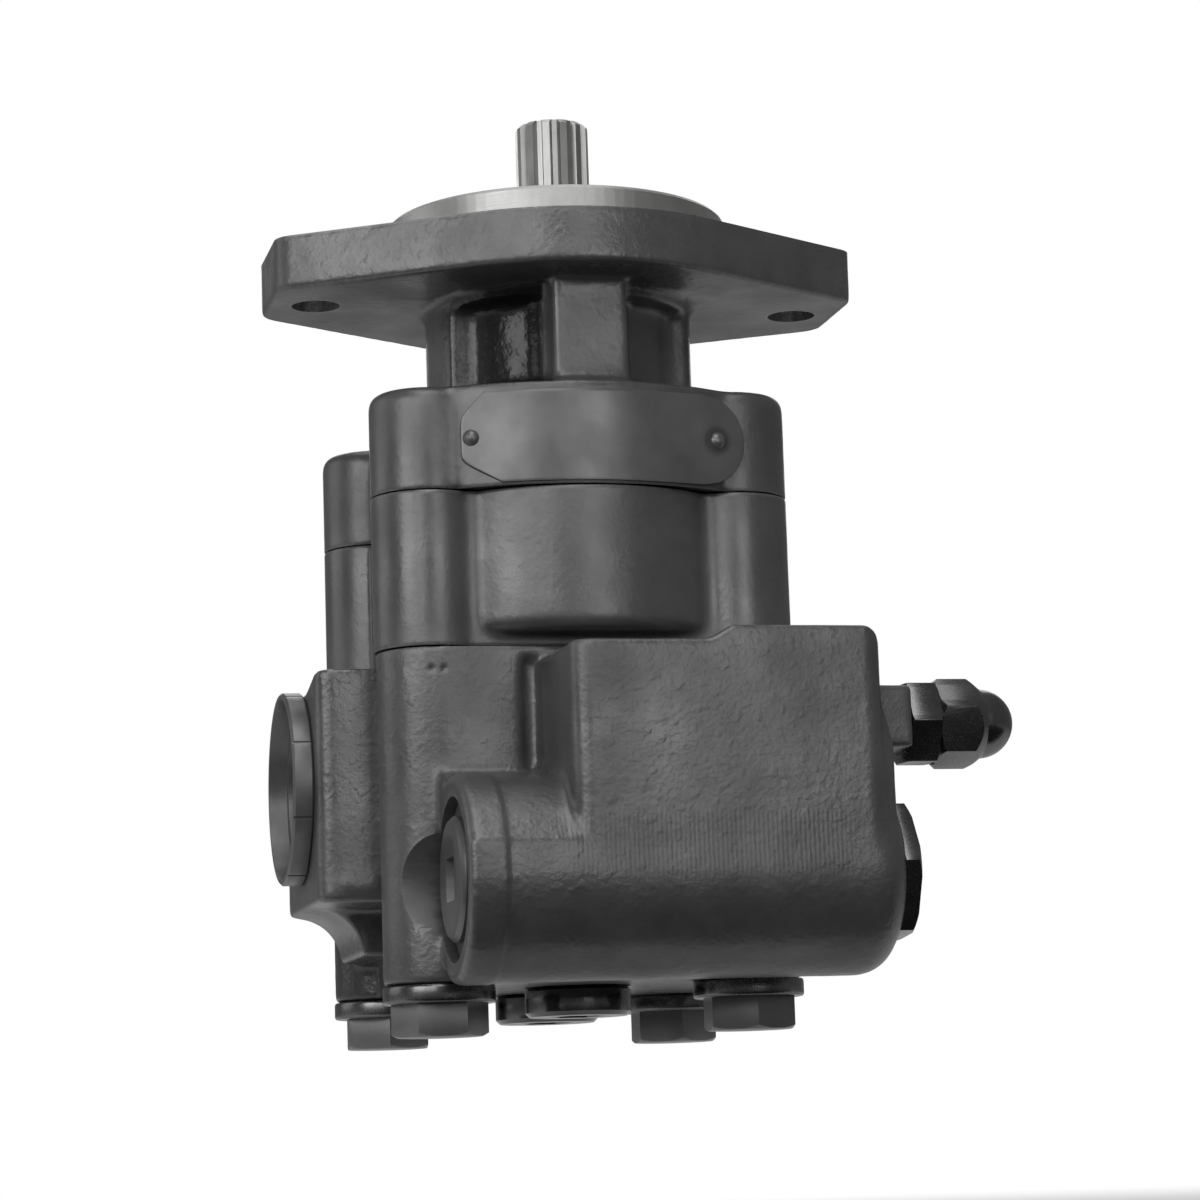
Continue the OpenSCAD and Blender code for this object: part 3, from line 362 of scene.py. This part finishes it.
def painted_casting():
    """Charcoal semi-gloss paint over cast skin, worn on edges, thick and glossy in places, with painted shade in
    concave creases and in the thick patches.
    """
    g = Graph("painted_casting")
    skin = g.attribute("cast_skin")
    gloss_and_shade = g.attribute("cast_gloss_and_shade")
    patches = g.noise(48, 5, 0.6)
    grain = g.noise(1100, 3, 0.6)
    paint = g.ramp(patches, [
        (0.28, (0.098, 0.098, 0.098)),
        (0.52, (0.124, 0.124, 0.125)),
        (0.74, (0.152, 0.151, 0.154)),
    ])
    worn = g.maths("MULTIPLY", g.edges(0.52, 0.60), g.span(grain, 0.38, 0.62, 0.1, 0.9))
    colour = g.mixed(worn, paint, (0.30, 0.30, 0.31))
    # painted shade: concave creases, where pointiness is low, are darkened towards near black
    crease_shade = g.maths("MULTIPLY", g.edges(0.485, 0.44), 0.55)
    colour = g.mixed(crease_shade, colour, (0.035, 0.034, 0.033))
    # painted shade: where the gloss mask is set the colour is darkened to near black, fully in the neck pocket and
    # half round the inlet pad's foot
    colour = g.mixed(g.maths("MULTIPLY", gloss_and_shade, 0.92), colour, (0.015, 0.015, 0.015))
    gloss = g.span(g.noise(38, 4, 0.55), 0.33, 0.67, 0.27, 0.44)
    gloss = g.mixed(gloss_and_shade, gloss, (0.22, 0.22, 0.22))
    peel = g.noise(620, 3, 0.55)
    lumps = g.span(g.noise(330, 1, 0.4), 0.56, 0.76, 0.0, 1.0)
    height = g.maths("ADD", peel, g.maths("MULTIPLY", lumps, 0.45))
    height = g.maths("MULTIPLY", height, g.span(skin, 0.0, 1.0, 0.12, 1.0))
    runs = g.maths("MULTIPLY", g.noise(260, 2, 0.5), g.maths("MULTIPLY", gloss_and_shade, 2.0))
    height = g.maths("ADD", height, runs)
    normal = g.bump(height, 0.00015)
    lines = g.node("ShaderNodeTexWave")
    lines.inputs["Scale"].default_value = LINE_SCALE
    lines.inputs["Distortion"].default_value = 0.15
    g.link(g.place, lines.inputs["Vector"])
    ribbed = g.maths("MULTIPLY", lines.outputs["Fac"], g.attribute("cast_lines"))
    normal = g.bump(ribbed, 0.00003, 1.0, normal)
    normal = g.bump(grain, 0.00003, 1.0, normal)
    return g.finish(colour, gloss, normal, 0.5)


def machined_iron():
    """Bare turned iron of the pilot and the mounting face, with its tool marks."""
    g = Graph("machined_iron")
    axis_place = g.node("ShaderNodeVectorMath")
    axis_place.operation = "MULTIPLY"
    axis_place.inputs[1].default_value = (1, 1, 0)
    g.link(g.place, axis_place.inputs[0])
    length = g.node("ShaderNodeVectorMath")
    length.operation = "LENGTH"
    g.link(axis_place.outputs["Vector"], length.inputs[0])
    split = g.node("ShaderNodeSeparateXYZ")
    g.link(g.place, split.inputs[0])
    rings = g.node("ShaderNodeCombineXYZ")
    g.link(length.outputs["Value"], rings.inputs[0])
    g.link(split.outputs["Z"], rings.inputs[1])
    lines = g.noise(2600, 2, 0.6, rings.outputs[0])
    stain = g.noise(45, 4, 0.6)
    colour = g.ramp(stain, [(0.3, (0.36, 0.36, 0.355)), (0.7, (0.50, 0.50, 0.49))])
    roughness = g.span(lines, 0.3, 0.7, 0.36, 0.52)
    return g.finish(colour, roughness, g.bump(lines, 0.00003), 1.0)


def painted_steel(name, colour, roughness, peel):
    """Smooth paint over turned or sheet steel, with a painted shadow round a rivet where the mesh carries a spot
    mask.
    """
    g = Graph(name)
    patches = g.noise(60, 3, 0.5)
    light = tuple(c * 1.3 for c in colour)
    paint = g.mixed(g.span(patches, 0.35, 0.65, 0.0, 1.0), colour, light)
    gloss = g.span(g.noise(90, 3, 0.5), 0.35, 0.65, roughness - 0.05, roughness + 0.06)
    # painted shadow: near black round the nameplate's right rivet, where the spot mask is set
    paint = g.mixed(g.maths("MULTIPLY", g.attribute("rivet_shade_spot"), 0.55), paint, (0.03, 0.03, 0.03))
    normal = g.bump(g.noise(420, 3, 0.5), peel)
    return g.finish(paint, gloss, normal, 0.5)


def steel(name, colour, roughness, metallic=1.0, stretch=(1, 1, 1), marks=0.00001):
    """Bare or blackened steel with fine marks along one direction."""
    g = Graph(name)
    lines = g.noise(1500, 3, 0.6, g.stretched(stretch))
    smudge = g.noise(70, 4, 0.6)
    dark = tuple(c * 0.78 for c in colour)
    tone = g.mixed(g.span(smudge, 0.3, 0.7, 0.0, 1.0), dark, colour)
    gloss = g.maths("ADD", g.span(lines, 0.3, 0.7, roughness - 0.04, roughness + 0.05),
                    g.span(smudge, 0.35, 0.65, -0.03, 0.03))
    return g.finish(tone, gloss, g.bump(lines, marks), metallic)


def rubber():
    g = Graph("seal_rubber")
    fine = g.noise(1800, 3, 0.6)
    colour = g.mixed(fine, (0.012, 0.012, 0.012), (0.030, 0.030, 0.031))
    return g.finish(colour, g.span(fine, 0.3, 0.7, 0.55, 0.75), g.bump(fine, 0.00003), 0.0)


def make_materials():
    return {
        "painted_casting": painted_casting(),
        "machined_iron": machined_iron(),
        "painted_plate": painted_steel("painted_plate", (0.125, 0.125, 0.126), 0.33, 0.00003),
        "painted_steel": painted_steel("painted_steel", (0.112, 0.112, 0.113), 0.34, 0.00004),
        "ground_steel": steel("ground_steel", (0.44, 0.44, 0.43), 0.38, stretch=(1, 1, 0.08)),
        "bearing_steel": steel("bearing_steel", (0.68, 0.68, 0.68), 0.14, marks=0.000004),
        "cage_brass": steel("cage_brass", (0.70, 0.50, 0.20), 0.30),
        "bronze": steel("bronze", (0.60, 0.38, 0.17), 0.34, stretch=(1, 1, 0.1)),
        "seal_rubber": rubber(),
        "pressed_steel": steel("pressed_steel", (0.42, 0.42, 0.42), 0.35),
        "black_steel": steel("black_steel", (0.175, 0.175, 0.177), 0.25),
        "worn_black": steel("worn_black", (0.26, 0.26, 0.26), 0.30),
        "worn_paint": steel("worn_paint", (0.20, 0.20, 0.205), 0.36, 0.6),
        "black_bolt": steel("black_bolt", (0.19, 0.19, 0.19), 0.34, 0.6),
        "plug_steel": steel("plug_steel", (0.16, 0.16, 0.165), 0.18),
        "spring_steel": steel("spring_steel", (0.40, 0.40, 0.41), 0.28),
    }


# ---- mesh work ----


def merged_copy(node):
    """A new mesh with the CAD node's shape and its split vertices joined."""
    shape = bmesh.new()
    shape.from_mesh(nodes[node].data)
    bmesh.ops.remove_doubles(shape, verts=shape.verts, dist=2e-6)
    bmesh.ops.recalc_face_normals(shape, faces=shape.faces)
    mesh = bpy.data.meshes.new(node + "_piece")
    shape.to_mesh(mesh)
    shape.free()
    return mesh


def new_piece(name, mesh):
    piece = bpy.data.objects.new(name, mesh)
    scene.collection.objects.link(piece)
    return piece


def baked(piece):
    """Swaps the piece's mesh for the result of its modifiers."""
    graph = bpy.context.evaluated_depsgraph_get()
    graph.update()
    mesh = bpy.data.meshes.new_from_object(piece.evaluated_get(graph), depsgraph=graph)
    piece.modifiers.clear()
    piece.data = mesh
    return mesh


def coordinates(mesh):
    values = np.empty(len(mesh.vertices) * 3)
    mesh.vertices.foreach_get("co", values)
    return values.reshape(-1, 3)


def step(value, low, high):
    """0 below low, 1 above high, with a smooth rise between."""
    t = np.clip((value - low) / (high - low), 0, 1)
    return t * t * (3 - 2 * t)


def from_axis(p, axis, at):
    """Distance from a line along x, y or z (axis 0, 1, 2) through the two other coordinates in at."""
    others = [i for i in range(3) if i != axis]
    return np.hypot(p[:, others[0]] - at[0], p[:, others[1]] - at[1])


def from_gears(p):
    """Distance, seen along z, from the segment that joins the two gear axes."""
    along = np.clip(p[:, 1], 0, GEAR_CENTRES)
    return np.hypot(p[:, 0], p[:, 1] - along)


def from_tie_bolts(p):
    return np.min([from_axis(p, 2, (x, y)) for x in BOLT_XS for y in BOLT_YS], axis=0)


def smoothed(p, edges, weight, rounds, normals=None):
    """Relaxes each vertex towards its neighbours by weight. With normals, it moves outwards only."""
    count = len(p)
    a, b = edges[:, 0], edges[:, 1]
    degree = np.maximum(np.bincount(a, minlength=count) + np.bincount(b, minlength=count), 1)
    for _ in range(rounds):
        pull = np.empty_like(p)
        for i in range(3):
            total = np.bincount(a, p[b, i], count) + np.bincount(b, p[a, i], count)
            pull[:, i] = total / degree - p[:, i]
        if normals is not None:
            outwards = np.einsum("ij,ij->i", pull, normals) > 0
            pull *= outwards[:, None]
        p = p + 0.5 * weight[:, None] * pull
    return p


def cast_piece(node, depth, cast, skin, carve, gloss_and_shade=None, lines=None, rounds=16, filling=30):
    """The node as a real casting: fillets and a rough skin where cast() says so, machined elsewhere.

    cast(p) is 1 where the surface is as cast. skin(p) is how rough that skin is, the optional gloss mask
    where its paint is thick and glossy and darkened as painted shade, and lines(p) where it is finely ribbed.
    carve(p) moves it outwards, in metres.
    """
    piece = new_piece(node + "_casting", merged_copy(node))
    remesh = piece.modifiers.new("even", "REMESH")
    remesh.mode = "SHARP"
    remesh.octree_depth = depth
    remesh.scale = 0.98
    remesh.sharpness = 1.0
    remesh.use_remove_disconnected = False
    mesh = baked(piece)

    p = coordinates(mesh)
    weight = cast(p)
    edges = np.empty(len(mesh.edges) * 2, dtype=np.int64)
    mesh.edges.foreach_get("vertices", edges)
    edges = edges.reshape(-1, 2)
    normals = np.empty(len(p) * 3)
    mesh.vertices.foreach_get("normal", normals)
    normals = normals.reshape(-1, 3)
    p = smoothed(p, edges, weight, filling, normals)
    p = smoothed(p, edges, weight, rounds)
    p = p + normals * carve(p)[:, None]
    mesh.vertices.foreach_set("co", p.ravel())
    mesh.update()

    roughness = skin(p) * weight
    group = piece.vertex_groups.new(name="skin")
    levels = np.round(roughness * 16).astype(int)
    for level in range(1, 17):
        chosen = np.flatnonzero(levels == level)
        if len(chosen):
            group.add(chosen.tolist(), level / 16, "REPLACE")
    for name, size, strength in (("swell", 14 * MM, 0.22 * MM), ("peel", 3.0 * MM, 0.11 * MM)):
        texture = bpy.data.textures.new(node + name, "CLOUDS")
        texture.noise_scale = size
        texture.noise_depth = 2
        displace = piece.modifiers.new(name, "DISPLACE")
        displace.texture = texture
        displace.texture_coords = "LOCAL"
        displace.strength = strength
        displace.mid_level = 0.5
        displace.vertex_group = "skin"
    faces = 2 * len(mesh.polygons)
    if faces > MOST_FACES:
        thin = piece.modifiers.new("thin", "DECIMATE")
        thin.ratio = MOST_FACES / faces
    mesh = baked(piece)
    p = coordinates(mesh)
    paint_attribute(mesh, "cast_skin", skin(p) * cast(p))
    if gloss_and_shade:
        paint_attribute(mesh, "cast_gloss_and_shade", gloss_and_shade(p))
    if lines:
        paint_attribute(mesh, "cast_lines", lines(p))
    mesh.shade_smooth()
    mesh.set_sharp_from_angle(angle=math.radians(38))
    mesh.materials.append(materials["painted_casting"])
    mesh.materials.append(materials["machined_iron"])
    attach(piece, CASING)
    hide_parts(node)
    return piece


def paint_attribute(mesh, name, values):
    attribute = mesh.attributes.new(name, "FLOAT", "POINT")
    attribute.data.foreach_set("value", values.astype(np.float32))


def hump(value, centre, half):
    """1 at centre, falling smoothly to 0 half away from it."""
    return 1 - step(np.abs(value - centre), 0, half)


def within(value, low, high, soft):
    """1 between low and high, falling to 0 over soft outside them."""
    return step(value, low - soft, low) * (1 - step(value, high, high + soft))


def seam(p, *heights):
    """A narrow groove where two castings meet."""
    outside = (from_gears(p) > 35 * MM) & (from_tie_bolts(p) > 12.5 * MM)
    depth = np.max([hump(p[:, 2], z, 0.75 * MM) for z in heights], axis=0)
    return -0.32 * MM * depth * outside


def shaft_cover_cast(p):
    z = p[:, 2]
    weight = step(z - JOINT_1, *JOINT_EDGE)
    weight *= step(-z, *JOINT_EDGE)
    from_shaft_bore = from_axis(p, 2, (0, 0)) - 30.5 * MM
    near_bore = np.where(z > JOINT_1 + 30 * MM, from_shaft_bore, from_gears(p) - GEAR_ROOM)
    weight *= step(near_bore, 0, 2 * MM)
    weight *= step(from_tie_bolts(p), *BOLT_EDGE)
    right_hole, left_hole = (from_axis(p, 2, (x, 0)) for x in (FLANGE_BOLT_X, -FLANGE_BOLT_X))
    flange_hole = np.minimum(right_hole, left_hole)
    weight *= step(flange_hole, FLANGE_HOLE_R + 0.2 * MM, FLANGE_HOLE_R + 1.5 * MM)
    return weight


def shaft_cover_skin(p):
    z = p[:, 2]
    flange = step(z, -17 * MM, -14 * MM)
    neck = step(z, JOINT_1 + 28 * MM, JOINT_1 + 32 * MM)
    return 0.35 + 0.25 * neck + 0.4 * flange


def housing_cast(p):
    z = p[:, 2]
    weight = step(np.minimum(JOINT_1 - z, z - JOINT_2), *JOINT_EDGE)
    weight *= step(from_gears(p), GEAR_ROOM, GEAR_ROOM + 2 * MM)
    weight *= step(from_tie_bolts(p), *BOLT_EDGE)
    return weight


def port_cover_cast(p):
    x, z = p[:, 0], p[:, 2]
    weight = step(np.abs(JOINT_2 - z), *JOINT_EDGE)
    inside = np.maximum(from_gears(p) - GEAR_ROOM, BOTTOM + 20 * MM - z)
    weight *= step(inside, 0, 2 * MM)
    weight *= step(from_tie_bolts(p), *BOLT_EDGE)
    at_plugs = np.maximum(from_gears(p) - 20 * MM, z - BOTTOM - 4 * MM)
    weight *= step(at_plugs, 0, 1.5 * MM)
    from_port = from_axis(p, 0, (PORT_Y, PORT_Z))
    weight *= step(from_port, np.where(x < 0, 27.5 * MM, 17 * MM), np.where(x < 0, 30 * MM, 19 * MM))
    from_spool = from_axis(p, 0, (BARREL_Y, BARREL_Z))
    at_spotface = x < SPOTFACE_X + SPOTFACE_DEPTH
    weight *= step(from_spool, np.where(at_spotface, 23.2 * MM, 18 * MM), np.where(at_spotface, 24.6 * MM, 20 * MM))
    weight *= step(from_axis(p, 0, (RELIEF_Y, RELIEF_Z)), 8.5 * MM, 10 * MM)
    return weight


def neck_pocket(p):
    """Thick glossy paint in the deep pocket left of the neck's rib, which the material darkens as painted shade."""
    x, y, z = p.T
    across = within(x, -41 * MM, -13 * MM, 2 * MM)
    along = within(z, JOINT_1 + 31 * MM, JOINT_1 + 60 * MM, 2 * MM)
    return across * along * (1 - step(y, -24 * MM, -8 * MM))


def lower_foot(p):
    """Thick glossy paint low on the left, round the foot of the inlet pad, which the material also darkens as
    painted shade, at about half strength.
    """
    x, y, z = p.T
    low = 1 - step(z, -199 * MM, -194 * MM)
    left = 1 - step(x, -52 * MM, -46 * MM)
    return 0.55 * low * left * step(y, 0, 20 * MM)


def port_cover_carve(p):
    """The seam, the low collar at the barrel's left end, and a few dents."""
    x, y, z = p.T
    shift = seam(p, JOINT_2)
    from_spool = from_axis(p, 0, (BARREL_Y, BARREL_Z))
    on_boss = step(from_spool, 25 * MM, 26.5 * MM) * (1 - step(y, -47 * MM, -43 * MM))
    collar_end = -35.5 * MM
    shift += 0.55 * MM * on_boss * (1 - step(x, collar_end - 2 * MM, collar_end))
    for dent_x, dent_z in ((-48, -129.5), (-44.5, -129.5)):
        away = np.hypot(x - dent_x * MM, z - dent_z * MM)
        shift -= 0.7 * MM * (1 - step(away, 0.3 * MM, 1.3 * MM)) * (y < -35 * MM) * (y > -45 * MM)
    return shift


def barrel_lines(p):
    """Fine ribs along the upper front of the barrel."""
    x, y, z = p.T
    return within(z, -191 * MM, -177 * MM, 3 * MM) * within(x, -14 * MM, 52 * MM, 14 * MM) * (y < -74 * MM)


def make_castings():
    pieces = [
        cast_piece("shaft_end_cover", 8, shaft_cover_cast, shaft_cover_skin,
                   lambda p: seam(p, JOINT_1), gloss_and_shade=neck_pocket, filling=70),
        cast_piece("gear_housing", 8, housing_cast, lambda p: np.full(len(p), 0.30),
                   lambda p: seam(p, JOINT_1, JOINT_2)),
        cast_piece("port_end_cover", 8, port_cover_cast, lambda p: np.full(len(p), 0.85),
                   port_cover_carve, gloss_and_shade=lower_foot, lines=barrel_lines),
    ]
    paint_pilot(pieces[0])
    return pieces


def paint_pilot(piece):
    """The pilot and the face round it are bare turned metal."""
    mesh = piece.data
    centres = np.empty(len(mesh.polygons) * 3)
    mesh.polygons.foreach_get("center", centres)
    bare = centres.reshape(-1, 3)[:, 2] > -0.15 * MM
    mesh.polygons.foreach_set("material_index", bare.astype(np.int32))


def broken_edges(node, width, slot, material=None):
    """The node with its sharp edges broken, as turned and milled pieces have."""
    piece = new_piece(node + "_finished", merged_copy(node))
    for _ in range(2):
        piece.data.materials.append(None)
    bevel = piece.modifiers.new("edges", "BEVEL")
    bevel.width = width
    bevel.segments = 2
    bevel.limit_method = "ANGLE"
    bevel.angle_limit = math.radians(35)
    bevel.use_clamp_overlap = True
    bevel.material = 1
    mesh = baked(piece)
    mesh.shade_smooth()
    mesh.set_sharp_from_angle(angle=math.radians(32))
    mesh.materials.clear()
    mesh.materials.append(materials[material or slot])
    mesh.materials.append(materials["worn_paint" if slot.startswith("painted") else "worn_black"])
    body = nodes[node]["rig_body"]
    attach(piece, body)
    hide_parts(node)


def finish_pieces():
    """Breaks the edges of what shows on the outside."""
    for node, width, slot in (
        ("tie_bolts", 0.35, "black_steel"),
        ("tie_bolt_washers", 0.5, "black_steel"),
        ("relief_lock_nut", 0.3, "black_steel"),
        ("relief_cap_nut", 0.35, "black_steel"),
        ("spool_end_plug", 0.4, "black_steel"),
        ("spool_socket_plug", 0.4, "painted_steel"),
        ("inlet_adaptor", 0.5, "painted_steel"),
        ("drive_bore_plug", 0.5, "plug_steel"),
        ("driven_bore_plug", 0.5, "plug_steel"),
    ):
        material = "black_bolt" if node == "tie_bolts" else slot
        broken_edges(node, width * MM, slot, material)


def taut_sheet(surface, low, high):
    """How far forward a sheet wrapped tightly over the casting's front stands, as x and y rows."""
    xs = np.linspace(low.x - 4 * MM, high.x + 2 * MM, 120)
    ys = np.empty_like(xs)
    heights = np.linspace(low.z + 2 * MM, high.z - 2 * MM, 7)
    for k, x in enumerate(xs):
        hits = [surface.ray_cast(Vector((x, -0.2, z)), Vector((0, 1, 0)))[0] for z in heights]
        ys[k] = np.median([hit.y for hit in hits])
    outline = []
    for x, y in zip(xs, ys):
        while len(outline) > 1 and turns_back(outline[-2], outline[-1], (x, y)):
            outline.pop()
        outline.append((x, y))
    ys = np.interp(xs, *zip(*outline))
    for _ in range(40):
        ys[1:-1] = (ys[:-2] + 2 * ys[1:-1] + ys[2:]) / 4
    return xs, ys


def turns_back(a, b, c):
    """True if b lies behind the line from a to c, seen from the front."""
    return (b[0] - a[0]) * (c[1] - a[1]) - (b[1] - a[1]) * (c[0] - a[0]) <= 0


def seat_rivets(bend):
    """The two rivets' heads stand on the bent plate."""
    rivets = new_piece("nameplate_rivets_seated", merged_copy("nameplate_rivets"))
    mesh = rivets.data
    p = coordinates(mesh)
    for side in (p[:, 0] < 0, p[:, 0] > 0):
        front = np.interp(p[side, 0].mean(), *bend) - PLATE_PROUD - RIVET_HEAD_H
        p[side, 1] += front - p[side, 1].min()
    mesh.vertices.foreach_set("co", p.ravel())
    mesh.update()
    mesh.materials.clear()
    mesh.materials.append(materials["painted_plate"])
    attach(rivets, CASING)
    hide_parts("nameplate_rivets")


def make_nameplate(casting):
    """A thin blank plate over the cover's front, with a round right end and clipped left corners."""
    low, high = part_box("nameplate")
    rows, columns = 30, 90
    round_r = (high.z - low.z) / 2
    middle_z = (high.z + low.z) / 2
    cut_low, cut_high = Vector((11, 6.5)) * MM, Vector((6.5, 7)) * MM
    xs = np.empty((rows, columns))
    zs = np.empty((rows, columns))
    heights = np.linspace(low.z, high.z, rows)
    low_cuts = cut_low.x * (1 - (heights - low.z) / cut_low.y)
    high_cuts = cut_high.x * (1 - (high.z - heights) / cut_high.y)
    lefts = low.x + np.maximum(np.maximum(low_cuts, high_cuts), 0)
    for _ in range(4):
        lefts[1:-1] = (lefts[:-2] + 2 * lefts[1:-1] + lefts[2:]) / 4
    for i, (z, left) in enumerate(zip(heights, lefts)):
        right = high.x - round_r + math.sqrt(max(0, round_r**2 - (z - middle_z) ** 2))
        xs[i] = np.linspace(left, right, columns)
        zs[i] = z
    skin = casting.data
    surface = BVHTree.FromPolygons([v.co for v in skin.vertices], [f.vertices for f in skin.polygons])
    bend = taut_sheet(surface, low, high)
    ys = np.interp(xs, *bend)
    seat_rivets(bend)
    verts = [(xs[i, k], ys[i, k] - PLATE_PROUD, zs[i, k]) for i in range(rows) for k in range(columns)]
    verts += [(xs[i, k], ys[i, k] - PLATE_BACK, zs[i, k]) for i in range(rows) for k in range(columns)]
    count = rows * columns
    faces = []
    for i in range(rows - 1):
        for k in range(columns - 1):
            a = i * columns + k
            faces.append((a, a + 1, a + columns + 1, a + columns))
            faces.append((count + a, count + a + columns, count + a + columns + 1, count + a + 1))
    border = list(range(columns))
    border += [i * columns + columns - 1 for i in range(1, rows)]
    border += [(rows - 1) * columns + k for k in range(columns - 2, -1, -1)]
    border += [i * columns for i in range(rows - 2, 0, -1)]
    for a, b in zip(border, border[1:] + border[:1]):
        faces.append((b, a, count + a, count + b))
    mesh = bpy.data.meshes.new("nameplate_blank")
    mesh.from_pydata(verts, [], faces)
    mesh.validate()
    plate = new_piece("nameplate_blank", mesh)
    bevel = plate.modifiers.new("edges", "BEVEL")
    bevel.width = 0.25 * MM
    bevel.segments = 2
    bevel.angle_limit = math.radians(60)
    mesh = baked(plate)
    mesh.shade_smooth()
    mesh.set_sharp_from_angle(angle=math.radians(40))
    rivet_x, rivet_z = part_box("nameplate_rivets")[1].x - RIVET_HEAD_R, middle_z
    p = coordinates(mesh)
    from_rivet = np.hypot(p[:, 0] - rivet_x, p[:, 2] - rivet_z)
    # painted shadow round the right rivet: a round mask that the plate's paint turns near black
    paint_attribute(mesh, "rivet_shade_spot", 1 - step(from_rivet, 3.4 * MM, 4.8 * MM))
    mesh.materials.clear()
    mesh.materials.append(materials["painted_plate"])
    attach(plate, CASING)
    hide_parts("nameplate")


def make_springs():
    """Each spring gets its own smooth-shaded copy, with its material, riding on the casing."""
    slots = {part["node"]: part["material_slot"] for part in frame["record"]["subparts"]}
    for node, joint, travel in (
        ("spool_spring", "spool_slide", SPOOL_TRAVEL),
        ("relief_spring", "poppet_lift", POPPET_TRAVEL),
    ):
        spring = new_piece(node + "_coil", merged_copy(node))
        spring.data.shade_smooth()
        spring.data.set_sharp_from_angle(angle=math.radians(50))
        spring.data.materials.clear()
        slot = slots[node]
        spring.data.materials.append(materials[slot])
        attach(spring, CASING)
        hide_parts(node)
        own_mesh(spring)


def dress_nodes():
    """Every CAD node that still shows gets its procedural material."""
    slots = {part["node"]: part["material_slot"] for part in frame["record"]["subparts"]}
    for name, node in nodes.items():
        node.data.materials.clear()
        node.data.materials.append(materials[slots[name]])


add_camera()
add_light()
materials = make_materials()
add_backdrop()
dress_nodes()
castings = make_castings()
finish_pieces()
make_nameplate(castings[0])
make_springs()

scene.view_settings.view_transform = "Standard"
